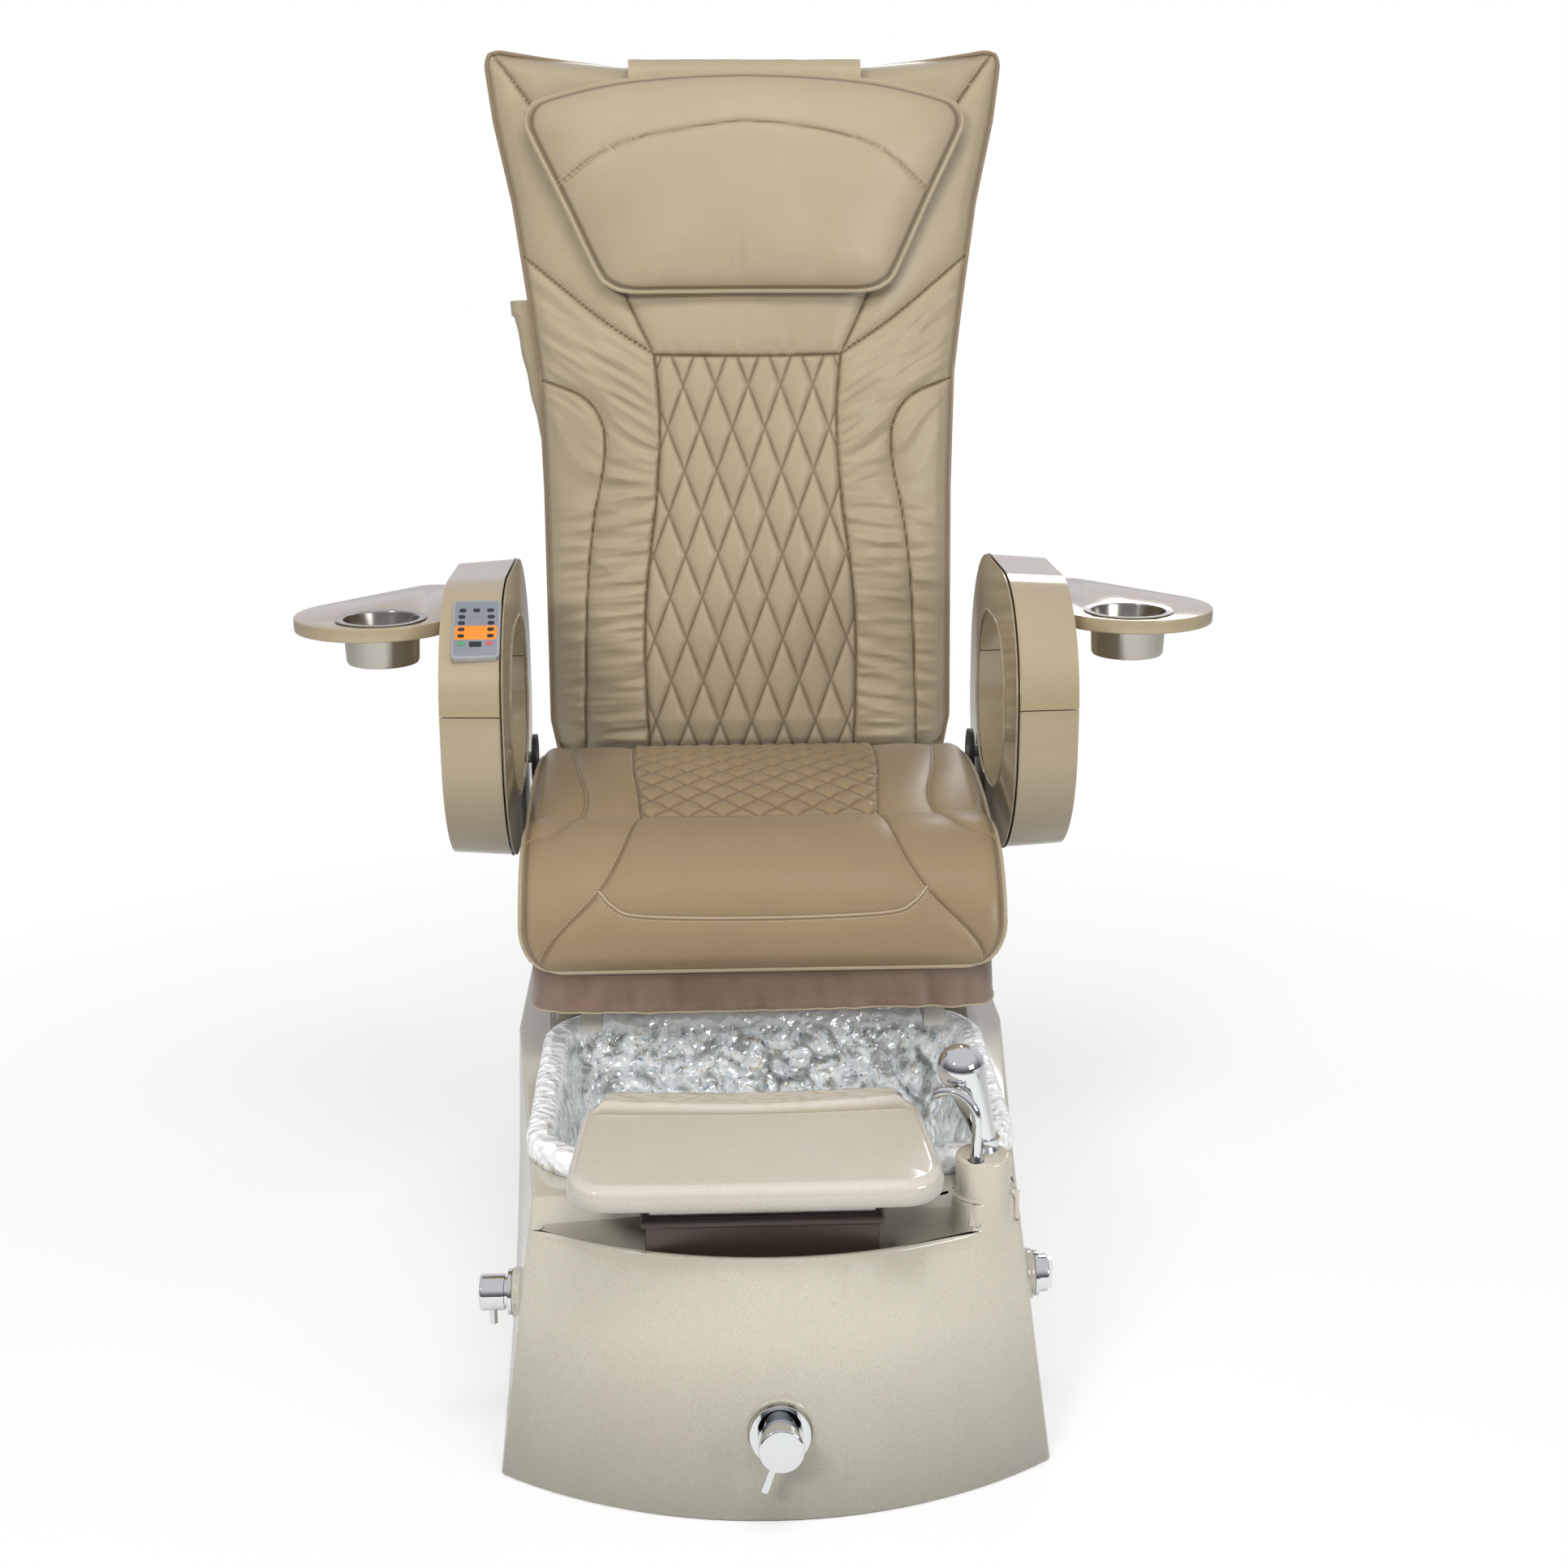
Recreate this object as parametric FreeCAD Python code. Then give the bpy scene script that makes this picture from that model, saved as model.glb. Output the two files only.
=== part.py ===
"""Pedicure spa chair: a foot-bath base with a sliding, reclining massage seat.

Millimetres, +Z up. The origin is on the floor at the middle of the base. +X is to the right
seen from the front, and the front faces -Y. The back is modelled upright about its hinge
and then leaned to its resting angle.
"""
import FreeCAD, Part
import math
import os

V = FreeCAD.Vector
X_AXIS = V(1, 0, 0)
Y_AXIS = V(0, 1, 0)
Z_AXIS = V(0, 0, 1)

# Fits and gaps
soft_gap = 0.3
shaft_fit = 0.05
easy_fit = 0.3

# Base moulding
base_front_mid = -545.0
base_front_corner = -450.0
base_rear = 545.0
base_half_front = 292.0
base_half_rear = 310.0
base_widest_y = 40.0
base_corner_r = 60.0
deck_height = 312.0
apron_lean = 40.0
apron_corner_lean = 18.0
side_taper_front = 42.0
side_taper_rear = 10.0
base_wall = 6.0
apron_height = 278.0
recess_back = -432.0
recess_floor = 205.0
pan_thick = 8.0

# Rear service hatch and connections
hatch_half = 170.0
hatch_low = 60.0
hatch_high = 250.0
hatch_lap = 15.0
hatch_thick = 3.0
screw_r = 2.0
screw_head_r = 4.5
screw_head = 2.5
service_x = 212.0
drain_z = 45.0
drain_r = 19.0
drain_bore = 17.0
collar_over = 4.0
collar_length = 8.0
drain_stub = 30.0
inlet_r = 10.48
inlet_bore = 8.0
inlet_stub = 20.0
inlet_low_z = 110.0
inlet_pitch = 50.0
socket_width = 48.0
socket_height = 28.0
socket_depth = 24.0
socket_z = 110.0
pin_slot = 4.0
controls_size = V(150, 140, 85)
controls_place = V(20, 260, 0)

# Foot bath
rim_half = 264.0
rim_front = -400.0
rim_rear = 30.0
rim_corner_r = 90.0
rim_height = 26.0
bowl_half = 238.0
bowl_inset = 22.0
bowl_floor_z = 112.0
bowl_floor_inset = 42.0
bowl_wall = 9.0
bowl_corner_r = 60.0
bath_drain_y = -205.0
flange_r = 32.0
flange_thick = 2.5
drain_throat = 21.0
stopper_r = 19.0
stopper_thick = 6.0
stopper_stem = 4.0
jet_x = 110.0
jet_y = -110.0
jet_cover_r = 48.0
jet_cover_height = 16.0
jet_cover_wall = 3.0
jet_shaft_r = 4.0
impeller_r = 34.0
impeller_height = 7.0
impeller_hub_r = 9.0
impeller_blades = 6
pump_r = 40.0
pump_length = 60.0

# Footrest
foot_mid_x = -22.0
foot_front = -537.0
foot_rear = -322.0
foot_half_front = 191.0
foot_half_rear = 177.0
foot_low = 345.0
foot_thick = 30.0
foot_corner_r = 45.0
foot_lip = 10.0
foot_lip_depth = 28.0
column_mid_x = -15.0
column_mid_y = -467.0
column_half = 114.0
column_depth = 30.0
socket_wall = 4.0
socket_gap = 0.3
socket_top = 313.0
socket_lip = 5.0

# Faucet pedestal, spray handset and spout
pedestal_x = 216.0
pedestal_y = -424.0
pedestal_r = 29.0
pedestal_top = 348.0
ledge_r = 34.0
ledge_top = 306.0
spray_x = 219.0
spray_y = -412.0
spray_stem_r = 9.0
spray_ferrule_r = 14.0
ferrule_height = 6.0
spray_depth = 40.0
spray_body_r = 15.0
spray_head_r = 25.0
spray_head_z = 432.0
spray_head_dx = -25.0
spray_head_dy = 14.0
spout_x = 206.0
spout_y = -441.0
spout_r = 5.0
spout_stem_r = 4.0
spout_ferrule_r = 7.5
spout_depth = 20.0
spout_rise = 36.0
spout_bend = 28.0
spout_aim = 150.0

# Valves
front_valve_z = 97.0
escutcheon_r = 31.0
escutcheon_thick = 8.0
valve_neck_r = 17.0
valve_neck = 11.0
valve_tail_r = 12.0
valve_tail = 60.0
valve_boss = 3.0
front_knob_r = 23.0
front_knob_depth = 24.0
lever_r = 4.0
front_lever = 50.0
front_lever_turn = 20.0
spindle_r = 6.0
spindle_length = 14.0
side_valve_y = -380.0
side_valve_z = 177.0
side_face = 279.0
side_escutcheon_r = 24.0
side_escutcheon_thick = 4.0
side_neck = 4.0
side_knob_r = 19.0
side_knob_depth = 26.0
side_lever = 36.0
drain_knob_z = 185.0
drain_knob_r = 20.0
drain_knob_depth = 11.0
drain_shaft_r = 5.0
drain_shaft = 30.0

# Seat slide
rail_x = 205.0
rail_width = 30.0
rail_height = 30.0
rail_front = 60.0
rail_rear = 520.0
runner_width = 24.0
runner_height = 42.0
runner_front = -60.0
runner_rear = 340.0
slide_gap = 0.3
rod_x = 100.0
rod_z = 353.0
rod_r = 6.0
rod_rear = 440.0
tube_wall = 2.0
tube_front = 250.0
motor_front = 470.0
motor_rear = 520.0
motor_r = 20.0
rod_lug_y = 60.0
rod_lug = 16.0

# Seat
seat_front = -80.0
frame_inner = 190.0
frame_outer = 240.0
frame_height = 32.0
frame_rear = 455.0
cross_depth = 30.0
board_half = 268.0
board_front = -102.0
board_rear = 350.0
board_thick = 16.0
skirt_wall = 2.5
skirt_drop = 32.0
skirt_corner_r = 40.0
seat_half = 284.0
seat_rear_z = 585.0
seat_mid_z = 599.0
seat_knee_z = 577.0
seat_knee_y = 45.0
seat_nose_y = -116.0
seat_nose_z = 458.0
seat_edge_drop = 26.0
seat_quilt_half = 140.0
seat_quilt_front = 45.0
seat_quilt_rear = 345.0
seat_diamond = 58.0
quilt_groove = 2.4
quilt_depth = 3.5
outrigger_height = 22.0
outrigger_y = 300.0
outrigger_depth = 60.0
arm_plate_x = 286.5
arm_plate = 6.0

# Armrests
arm_inner = 295.0
arm_outer = 371.0
arm_front = -47.0
arm_rear = 370.0
arm_low = 520.0
arm_high = 865.0
arm_round = 150.0
eye_front = 55.0
eye_rear = 300.0
eye_low = 585.0
eye_high = 795.0
eye_round = 95.0
arm_wall = 4.0
arm_split = 725.0
arm_pivot_y = 300.0
arm_pivot_z = 588.0
arm_pin_r = 8.0
arm_hub_r = 18.0
arm_hub_length = 38.0
remote_width = 56.0
remote_length = 80.0
remote_thick = 12.0
remote_proud = 1.0
remote_mid_x = -328.0
remote_angle = 45.0
key_thick = 0.8
key_long = 11.0
key_short = 7.0

# Trays
tray_top = 818.0
tray_thick = 16.7
tray_big_x = 460.0
tray_big_y = 115.0
tray_big_r = 98.0
tray_pin_x = 410.0
tray_pin_y = 279.0
tray_pin_r = 6.0
tray_end_r = 34.5
tray_edge_x = 375.5
tray_plate = 6.0
tray_plate_half = 17.0
tray_flange = 3.0
tray_bowl_x = 449.0
tray_bowl_y = 80.0
tray_bowl_r = 45.0
tray_bowl_rim = 54.5
tray_bowl_foot_r = 41.0
tray_bowl_depth = 54.0
steel_sheet = 1.2

# Back
hinge_y = 430.0
hinge_z = 470.0
hinge_pin_r = 8.0
hinge_lug_r = 22.0
hinge_plate = 6.0
hinge_lug_x = 212.0
lean = 9.2
cushion_rear = -4.3
edge_front = -14.0
top_dip = 33.0
top_tip = 1035.0
tip_half = 348.0
back_stations = [
    (82, 264, -62), (135, 275, -79), (300, 276, -82), (450, 277, -82), (606, 282, -80),
    (704, 294, -75), (833, 312, -74), (940, 335, -68), (1045, 349, -50)]
back_quilt_half = 134.0
back_quilt_low = 132.4
back_quilt_high = 612.0
back_diamond_half = 21.8
back_diamond_rise = 56.6
shell_front = -4.0
shell_rear = 50.0
shell_wall = 4.0
shell_taper = 12.0
shell_stations = [(90, 263), (500, 272), (715, 289), (940, 330), (1012, 338)]
post_width = 20.0
post_front = 2.0
post_low = 20.0
post_high = 925.0
rung_low = 130.0
rung_high = 905.0
guide_x = 95.0
guide_r = 6.0
guide_w = 28.0
carriage_half = 112.0
carriage_low = 400.0
carriage_height = 40.0
carriage_front = 18.0
carriage_depth = 22.0
roller_r = 19.0
roller_w = 18.0
roller_rise = 62.0
roller_in = 28.0
roller_out = 62.0
axle_r = 5.0
axle_half = 82.0
lug_in = 70.0
lug_out = 76.0
pillow_rear = -83.0
pillow_front = -128.0
pillow_low = 707.0
pillow_shoulder = 925.0
pillow_high = 985.0
pillow_half_low = 160.0
pillow_half = 288.0
strap_half = 153.0
strap_thick = 2.5
pocket_low = 508.0
pocket_high = 707.0
pocket_bulge_low = 11.0
pocket_bulge_high = 38.0
pocket_front = 0.0
pocket_rear = 46.0
pocket_wall = 2.5

# Recline gear motor on the hinge axis
gear_r = 24.0
gear_inner = 130.0
gear_outer = 196.0
gear_foot = 6.0


# Helpers

def block(x0, x1, y0, y1, z0, z1):
    return Part.makeBox(x1 - x0, y1 - y0, z1 - z0, V(x0, y0, z0))


def rod(start, radius, length, direction=Z_AXIS):
    return Part.makeCylinder(radius, length, start, direction)


def join(first, *rest):
    return first.fuse(list(rest)).removeSplitter()


def carve(body, *tools):
    return body.cut(list(tools))


def mirrored(shape):
    return shape.mirror(V(0, 0, 0), X_AXIS)


def both_sides(shape):
    return [shape, mirrored(shape)]


def line(a, b):
    return Part.LineSegment(a, b).toShape()


def arc(a, b, c):
    return Part.Arc(a, b, c).toShape()


def corner_mid(centre, radius, degrees):
    turn = math.radians(degrees)
    return centre[0] + radius * math.cos(turn), centre[1] + radius * math.sin(turn)


def rounded(a0, a1, b0, b1, radius, place):
    """Closed rounded rectangle; place turns its two flat coordinates into a point."""
    centres = [(a1 - radius, b0 + radius, -90), (a1 - radius, b1 - radius, 0),
               (a0 + radius, b1 - radius, 90), (a0 + radius, b0 + radius, 180)]
    arcs = []
    for a, b, start in centres:
        marks = [place(*corner_mid((a, b), radius, start + turn)) for turn in (0, 45, 90)]
        arcs.append(marks)
    edges = []
    for index, marks in enumerate(arcs):
        following = arcs[(index + 1) % 4]
        edges.append(arc(*marks))
        edges.append(line(marks[2], following[0]))
    return Part.Wire(edges)


def at_height(z):
    return lambda a, b: V(a, b, z)


def in_profile(x):
    return lambda a, b: V(x, a, b)


def prism(wire, direction):
    return Part.Face(wire).extrude(direction)


def loft(wires, ruled=False):
    return Part.makeLoft(wires, True, ruled, False, 3)


def revolved(profile, centre):
    """Solid of (radius, height) pairs turned about a vertical line."""
    points = [V(centre.x + r, centre.y, centre.z + z) for r, z in profile]
    face = Part.Face(Part.makePolygon(points + [points[0]]))
    return face.revolve(centre, Z_AXIS, 360)


def save(node, *solids):
    shape = solids[0] if len(solids) == 1 else Part.makeCompound(list(solids))
    shape.exportStep("parts/" + node + ".step")
    found = shape.Solids
    good = "" if shape.isValid() and found else "  CHECK"
    print(f"{node:24s} solids {len(found):3d}  volume {shape.Volume / 1000:10.1f} cm3{good}")


# Base moulding

def base_outline(z, inset):
    """Plan of the moulding at one height, bowed at the front and round at the rear corners."""
    rise = z / deck_height
    mid = base_front_mid + apron_lean * rise + inset
    corner = base_front_corner + apron_corner_lean * rise + inset
    front_half = base_half_front - side_taper_front * rise - inset
    rear_half = base_half_rear - side_taper_rear * rise - inset
    rear = base_rear - inset
    radius = base_corner_r - inset
    centre = (rear_half - radius, rear - radius)
    bend = corner_mid(centre, radius, 45)
    right = [V(front_half, corner, z), V(rear_half, base_widest_y, z), V(rear_half, rear - radius, z),
             V(bend[0], bend[1], z), V(rear_half - radius, rear, z)]
    left = [V(-p.x, p.y, p.z) for p in right]
    return Part.Wire([
        arc(left[0], V(0, mid, z), right[0]), line(right[0], right[1]), line(right[1], right[2]),
        arc(right[2], right[3], right[4]), line(right[4], left[4]), arc(left[4], left[3], left[2]),
        line(left[2], left[1]), line(left[1], left[0])])


def base_block(low, high, inset):
    return loft([base_outline(low, inset), base_outline(high, inset)], True)


def valve_direction():
    slope = math.atan2(apron_lean, deck_height)
    return V(0, -math.cos(slope), math.sin(slope))


def valve_seat():
    return V(0, base_front_mid + apron_lean * front_valve_z / deck_height, front_valve_z)


def pedestal_parts(outer):
    foot = V(pedestal_x, pedestal_y, recess_floor - base_wall)
    ledge = rod(foot, ledge_r, ledge_top - foot.z).common(outer)
    return [ledge, rod(foot, pedestal_r, pedestal_top - foot.z)]


def side_boss(side, z):
    start = V(side * (side_face - 17), side_valve_y, z)
    return rod(start, side_escutcheon_r + 2, 17, V(side, 0, 0))


def base_shell():
    outer = base_block(0, deck_height, 0)
    inner = base_block(-base_wall, deck_height - base_wall, base_wall)
    ahead = base_front_mid - base_wall
    wide = base_half_rear
    liner = outer.common(block(-wide, wide, ahead, recess_back + base_wall,
                               recess_floor - base_wall, deck_height))
    well = inner.common(block(-wide, wide, ahead, recess_back, recess_floor, deck_height))
    over_apron = block(-wide, wide, ahead, recess_back, apron_height, deck_height + base_wall)
    shell = carve(carve(outer, inner).fuse(liner), well, over_apron)
    seat = valve_seat()
    out = valve_direction()
    boss = rod(seat - out * 9, escutcheon_r + 2, 9 + valve_boss, out)
    for part in (*pedestal_parts(outer), boss, side_boss(-1, side_valve_z), side_boss(1, drain_knob_z)):
        shell = shell.fuse(part)
    bath = prism(rounded(-bowl_half - 3, bowl_half + 3, rim_front + bowl_inset - 3,
                         rim_rear - bowl_inset + 3, bowl_corner_r, at_height(deck_height - 50)),
                 V(0, 0, 100))
    holes = [
        bath,
        rod(seat - out * valve_tail, valve_tail_r + easy_fit, valve_tail * 2, out),
        rod(V(0, side_valve_y, side_valve_z), valve_tail_r + easy_fit, side_face + 10, -X_AXIS),
        rod(V(0, side_valve_y, drain_knob_z), drain_shaft_r + 1, side_face + 10, X_AXIS),
        rod(V(spray_x, spray_y, pedestal_top - spray_depth), spray_stem_r + easy_fit, spray_depth + 5),
        rod(V(spout_x, spout_y, pedestal_top - spout_depth), spout_stem_r + easy_fit, spout_depth + 5),
        block(-hatch_half, hatch_half, base_rear - 20, base_rear + 20, hatch_low, hatch_high),
        rod(V(-service_x, base_rear - 20, drain_z), drain_r + easy_fit, 40, Y_AXIS),
        block(service_x - socket_width / 2 - easy_fit, service_x + socket_width / 2 + easy_fit,
              base_rear - 20, base_rear + 20, socket_z - socket_height / 2 - easy_fit,
              socket_z + socket_height / 2 + easy_fit)]
    for z in inlet_heights():
        holes.append(rod(V(-service_x, base_rear - 20, z), inlet_r + easy_fit, 40, Y_AXIS))
    for x, z in hatch_screws():
        holes.append(rod(V(x, base_rear - 20, z), screw_r + 0.1, 40, Y_AXIS))
    holes.append(column_box(socket_gap + socket_wall + easy_fit, recess_floor, deck_height))
    for hole in holes:
        shell = shell.cut(hole)
    return shell


def base_pan():
    return base_block(0, pan_thick, base_wall + soft_gap)


def inlet_heights():
    return [inlet_low_z, inlet_low_z + inlet_pitch]


def hatch_screws():
    reach = hatch_half + hatch_lap / 2
    middle = (hatch_low + hatch_high) / 2
    edge = (hatch_high - hatch_low) / 2 + hatch_lap / 2
    return [(side * reach, middle + row * edge * 0.8) for side in (-1, 1) for row in (-1, 0, 1)]


def rear_hatch():
    cover = block(-hatch_half - hatch_lap, hatch_half + hatch_lap, base_rear, base_rear + hatch_thick,
                  hatch_low - hatch_lap, hatch_high + hatch_lap)
    plug = block(-hatch_half + 1, hatch_half - 1, base_rear - base_wall, base_rear,
                 hatch_low + 1, hatch_high - 1)
    holes = [rod(V(x, base_rear - 1, z), screw_r + 0.1, 10, Y_AXIS) for x, z in hatch_screws()]
    return carve(join(cover, plug), *holes)


def hatch_screw(x, z):
    head = rod(V(x, base_rear + hatch_thick, z), screw_head_r, screw_head, Y_AXIS)
    shank = rod(V(x, base_rear - base_wall - 4, z), screw_r, base_wall + 4 + hatch_thick, Y_AXIS)
    return join(head, shank)


# Foot bath

def bath_outline(z, half, front, rear, radius):
    return rounded(-half, half, front, rear, radius, at_height(z))


def tub_bowl():
    """Moulded basin: a thick bubbly rim on the deck over a tapering tub."""
    rim = prism(bath_outline(deck_height, rim_half, rim_front, rim_rear, rim_corner_r), V(0, 0, rim_height))
    front = rim_front + bowl_inset
    rear = rim_rear - bowl_inset
    low_front = front + bowl_floor_inset
    low_rear = rear - bowl_floor_inset
    low_half = bowl_half - bowl_floor_inset
    tub = loft([bath_outline(bowl_floor_z, low_half, low_front, low_rear, bowl_corner_r),
                bath_outline(deck_height, bowl_half, front, rear, bowl_corner_r)], True)
    inside = loft([
        bath_outline(bowl_floor_z + bowl_wall, low_half - bowl_wall, low_front + bowl_wall,
                     low_rear - bowl_wall, bowl_corner_r - bowl_wall),
        bath_outline(deck_height + rim_height + 1, bowl_half - bowl_wall, front + bowl_wall,
                     rear - bowl_wall, bowl_corner_r - bowl_wall)], True)
    drain = rod(V(0, bath_drain_y, bowl_floor_z - 5), drain_throat + 3 + easy_fit, 30)
    jet = rod(V(jet_x, jet_y, bowl_floor_z - 5), jet_shaft_r + 8, 30)
    return carve(join(rim, tub), inside, drain, jet)


def bath_floor():
    return bowl_floor_z + bowl_wall


def drain_flange():
    top = rod(V(0, bath_drain_y, bath_floor()), flange_r, flange_thick)
    neck = rod(V(0, bath_drain_y, bowl_floor_z - 20), drain_throat + 3, bowl_wall + 20)
    bore = rod(V(0, bath_drain_y, bowl_floor_z - 30), drain_throat, 60)
    bridge = block(-drain_throat - 1, drain_throat + 1, bath_drain_y - 7, bath_drain_y + 7,
                   bowl_floor_z - 16, bowl_floor_z - 10)
    guide = rod(V(0, bath_drain_y, bowl_floor_z - 20), stopper_stem + shaft_fit, 30)
    return carve(join(carve(join(top, neck), bore), bridge), guide)


def drain_stopper():
    seat = bath_floor() + flange_thick + soft_gap
    cap = rod(V(0, bath_drain_y, seat - stopper_thick / 2), stopper_r, stopper_thick)
    stem = rod(V(0, bath_drain_y, bowl_floor_z - 24), stopper_stem, seat - bowl_floor_z + 24)
    return join(cap, stem)


def drain_run(radius, stub_end):
    """Waste pipe: down from the bath, across to the left, and out through the rear wall."""
    top = bowl_floor_z - 20
    fall = rod(V(0, bath_drain_y, drain_z), radius, top - drain_z)
    across = rod(V(0, bath_drain_y, drain_z), radius, service_x, -X_AXIS)
    away = rod(V(-service_x, bath_drain_y, drain_z), radius, stub_end - bath_drain_y, Y_AXIS)
    knees = [Part.makeSphere(radius, V(x, bath_drain_y, drain_z)) for x in (0, -service_x)]
    return join(fall, across, away, *knees)


def drain_pipe():
    collar_rear = base_rear + collar_length
    collar = rod(V(-service_x, base_rear + soft_gap, drain_z), drain_r + collar_over,
                 collar_length - soft_gap, Y_AXIS)
    end = collar_rear + drain_stub
    bore = join(drain_run(drain_bore, end + 5),
                rod(V(0, bath_drain_y, bowl_floor_z - 25), drain_bore, 20))
    return carve(join(drain_run(drain_r, end), collar), bore)


def water_inlet(z):
    start = V(-service_x, base_rear - 30, z)
    pipe = rod(start, inlet_r, 30 + collar_length + inlet_stub, Y_AXIS)
    collar = rod(V(-service_x, base_rear, z), inlet_r + collar_over, collar_length, Y_AXIS)
    return carve(join(pipe, collar), rod(start, inlet_bore, 100, Y_AXIS))


def power_inlet():
    half_w = socket_width / 2
    half_h = socket_height / 2
    body = block(service_x - half_w, service_x + half_w, base_rear - socket_depth, base_rear + 3,
                 socket_z - half_h, socket_z + half_h)
    bezel = block(service_x - half_w - 2, service_x + half_w + 2, base_rear, base_rear + 3,
                  socket_z - half_h - 4, socket_z + half_h + 4)
    mouth = block(service_x - 12, service_x + 12, base_rear - 15, base_rear + 5, socket_z - 8, socket_z + 8)
    shape = carve(join(body, bezel), mouth)
    blades = [block(service_x + dx - 1, service_x + dx + 1, base_rear - 16, base_rear - 2,
                    socket_z + dz - pin_slot / 2, socket_z + dz + pin_slot / 2)
              for dx, dz in ((-7, -1), (0, 2), (7, -1))]
    return join(shape, *blades)


def control_box():
    low = V(controls_place.x, controls_place.y, pan_thick)
    return Part.makeBox(controls_size.x, controls_size.y, controls_size.z, low)


def jet_cover():
    floor = bath_floor()
    outer = rod(V(jet_x, jet_y, floor), jet_cover_r, jet_cover_height)
    outer = outer.makeFillet(5, [edge for edge in outer.Edges if edge.BoundBox.ZMin > floor + 1])
    inner = rod(V(jet_x, jet_y, floor - 1), jet_cover_r - jet_cover_wall,
                jet_cover_height - jet_cover_wall + 1)
    holes = []
    for index in range(8):
        turn = math.radians(index * 45)
        spot = V(jet_x + 26 * math.cos(turn), jet_y + 26 * math.sin(turn), floor)
        holes.append(rod(spot, 4.5, 40))
    return carve(outer, inner, *holes)


def jet_pump():
    case = rod(V(jet_x, jet_y, bowl_floor_z - pump_length), pump_r, pump_length)
    shaft = rod(V(jet_x, jet_y, bowl_floor_z - 1), jet_shaft_r, bowl_wall + 1 + 10)
    sleeve = rod(V(jet_x, jet_y, bowl_floor_z - 1), jet_shaft_r + 7.5, bowl_wall + 1 + 1)
    return join(case, shaft, sleeve)


def jet_impeller():
    low = bath_floor() + 1 + soft_gap
    shape = rod(V(jet_x, jet_y, low), impeller_hub_r, impeller_height)
    blades = []
    for index in range(impeller_blades):
        blade = block(0, impeller_r, -1.2, 1.2, 0, impeller_height)
        blade.rotate(V(0, 0, 0), Z_AXIS, index * 360 / impeller_blades)
        blade.translate(V(jet_x, jet_y, low))
        blades.append(blade)
    bore = rod(V(jet_x, jet_y, low - 5), jet_shaft_r + shaft_fit, 30)
    return carve(join(shape, *blades), bore)


# Footrest

def foot_outline(z, inset):
    """Plan of the pad: wider at the front, with rounded corners."""
    front = foot_front + inset
    rear = foot_rear - inset
    wide = foot_half_front - inset
    narrow = foot_half_rear - inset
    r = foot_corner_r
    cut = 0.3 * r
    right = [V(wide - r, front, z), V(wide - cut, front + cut, z), V(wide, front + r, z),
             V(narrow, rear - r, z), V(narrow - cut, rear - cut, z), V(narrow - r, rear, z)]
    left = [V(-p.x, p.y, p.z) for p in right]
    edges = [arc(right[0], right[1], right[2]), line(right[2], right[3]), arc(right[3], right[4], right[5]),
             line(right[5], left[5]), arc(left[5], left[4], left[3]), line(left[3], left[2]),
             arc(left[2], left[1], left[0]), line(left[0], right[0])]
    wire = Part.Wire(edges)
    wire.translate(V(foot_mid_x, 0, 0))
    return wire


def footrest_pad():
    top = foot_low + foot_thick
    pad = loft([foot_outline(foot_low, 14), foot_outline(foot_low + 8, 2), foot_outline(foot_low + 16, 0),
                foot_outline(top - 7, 3), foot_outline(top, 18)])
    lip_front = foot_rear - foot_lip_depth
    reach = foot_half_rear - foot_corner_r
    lip = prism(Part.Wire([
        arc(V(-reach, lip_front, top - 4), V(0, lip_front - 8, top - 4), V(reach, lip_front, top - 4)),
        line(V(reach, lip_front, top - 4), V(reach - 6, foot_rear - 8, top - 4)),
        line(V(reach - 6, foot_rear - 8, top - 4), V(-reach + 6, foot_rear - 8, top - 4)),
        line(V(-reach + 6, foot_rear - 8, top - 4), V(-reach, lip_front, top - 4))]), V(0, 0, foot_lip + 4))
    lip.translate(V(foot_mid_x, 0, 0))
    scoop_r = 900.0
    scoop = rod(V(foot_mid_x, lip_front - 40, top + 3 + scoop_r), scoop_r, foot_lip_depth + 60, Y_AXIS)
    return join(pad, carve(lip, scoop))


def column_box(grow, low, high):
    half = column_half + grow
    depth = column_depth / 2 + grow
    return block(column_mid_x - half, column_mid_x + half, column_mid_y - depth, column_mid_y + depth,
                 low, high)


def footrest_column():
    return column_box(0, recess_floor + socket_wall + 2, foot_low)


def footrest_socket():
    sleeve = column_box(socket_gap + socket_wall, recess_floor, socket_top)
    lip = column_box(socket_gap + socket_wall + socket_lip, socket_top - 2 * socket_lip, socket_top)
    lip = lip.makeFillet(socket_lip * 0.8, lip.Edges)
    hollow = column_box(socket_gap, recess_floor + socket_wall, socket_top + 10)
    return carve(join(sleeve, lip), hollow)


# Faucet

def ferrule(x, y, outer, bore, height):
    low = V(x, y, pedestal_top)
    ring = Part.makeCone(outer, outer * 0.8, height, low)
    return carve(ring, rod(low - V(0, 0, 1), bore + shaft_fit, height + 2))


def hand_shower():
    foot = V(spray_x, spray_y, pedestal_top)
    rise = spray_head_z - pedestal_top
    stem = rod(foot - V(0, 0, spray_depth - 5), spray_stem_r, spray_depth + ferrule_height)
    collar = rod(foot + V(0, 0, ferrule_height + soft_gap), spray_body_r, 7)
    aim = V(spray_head_dx, spray_head_dy, rise)
    neck = Part.makeCone(spray_body_r * 0.8, spray_head_r * 0.92, aim.Length - 8, foot + V(0, 0, 8), aim)
    head = Part.makeSphere(spray_head_r, foot + aim)
    above = carve(join(neck, head), block(-600, 600, -900, 0, 0, pedestal_top + ferrule_height + soft_gap))
    return join(stem, collar, above)


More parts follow.
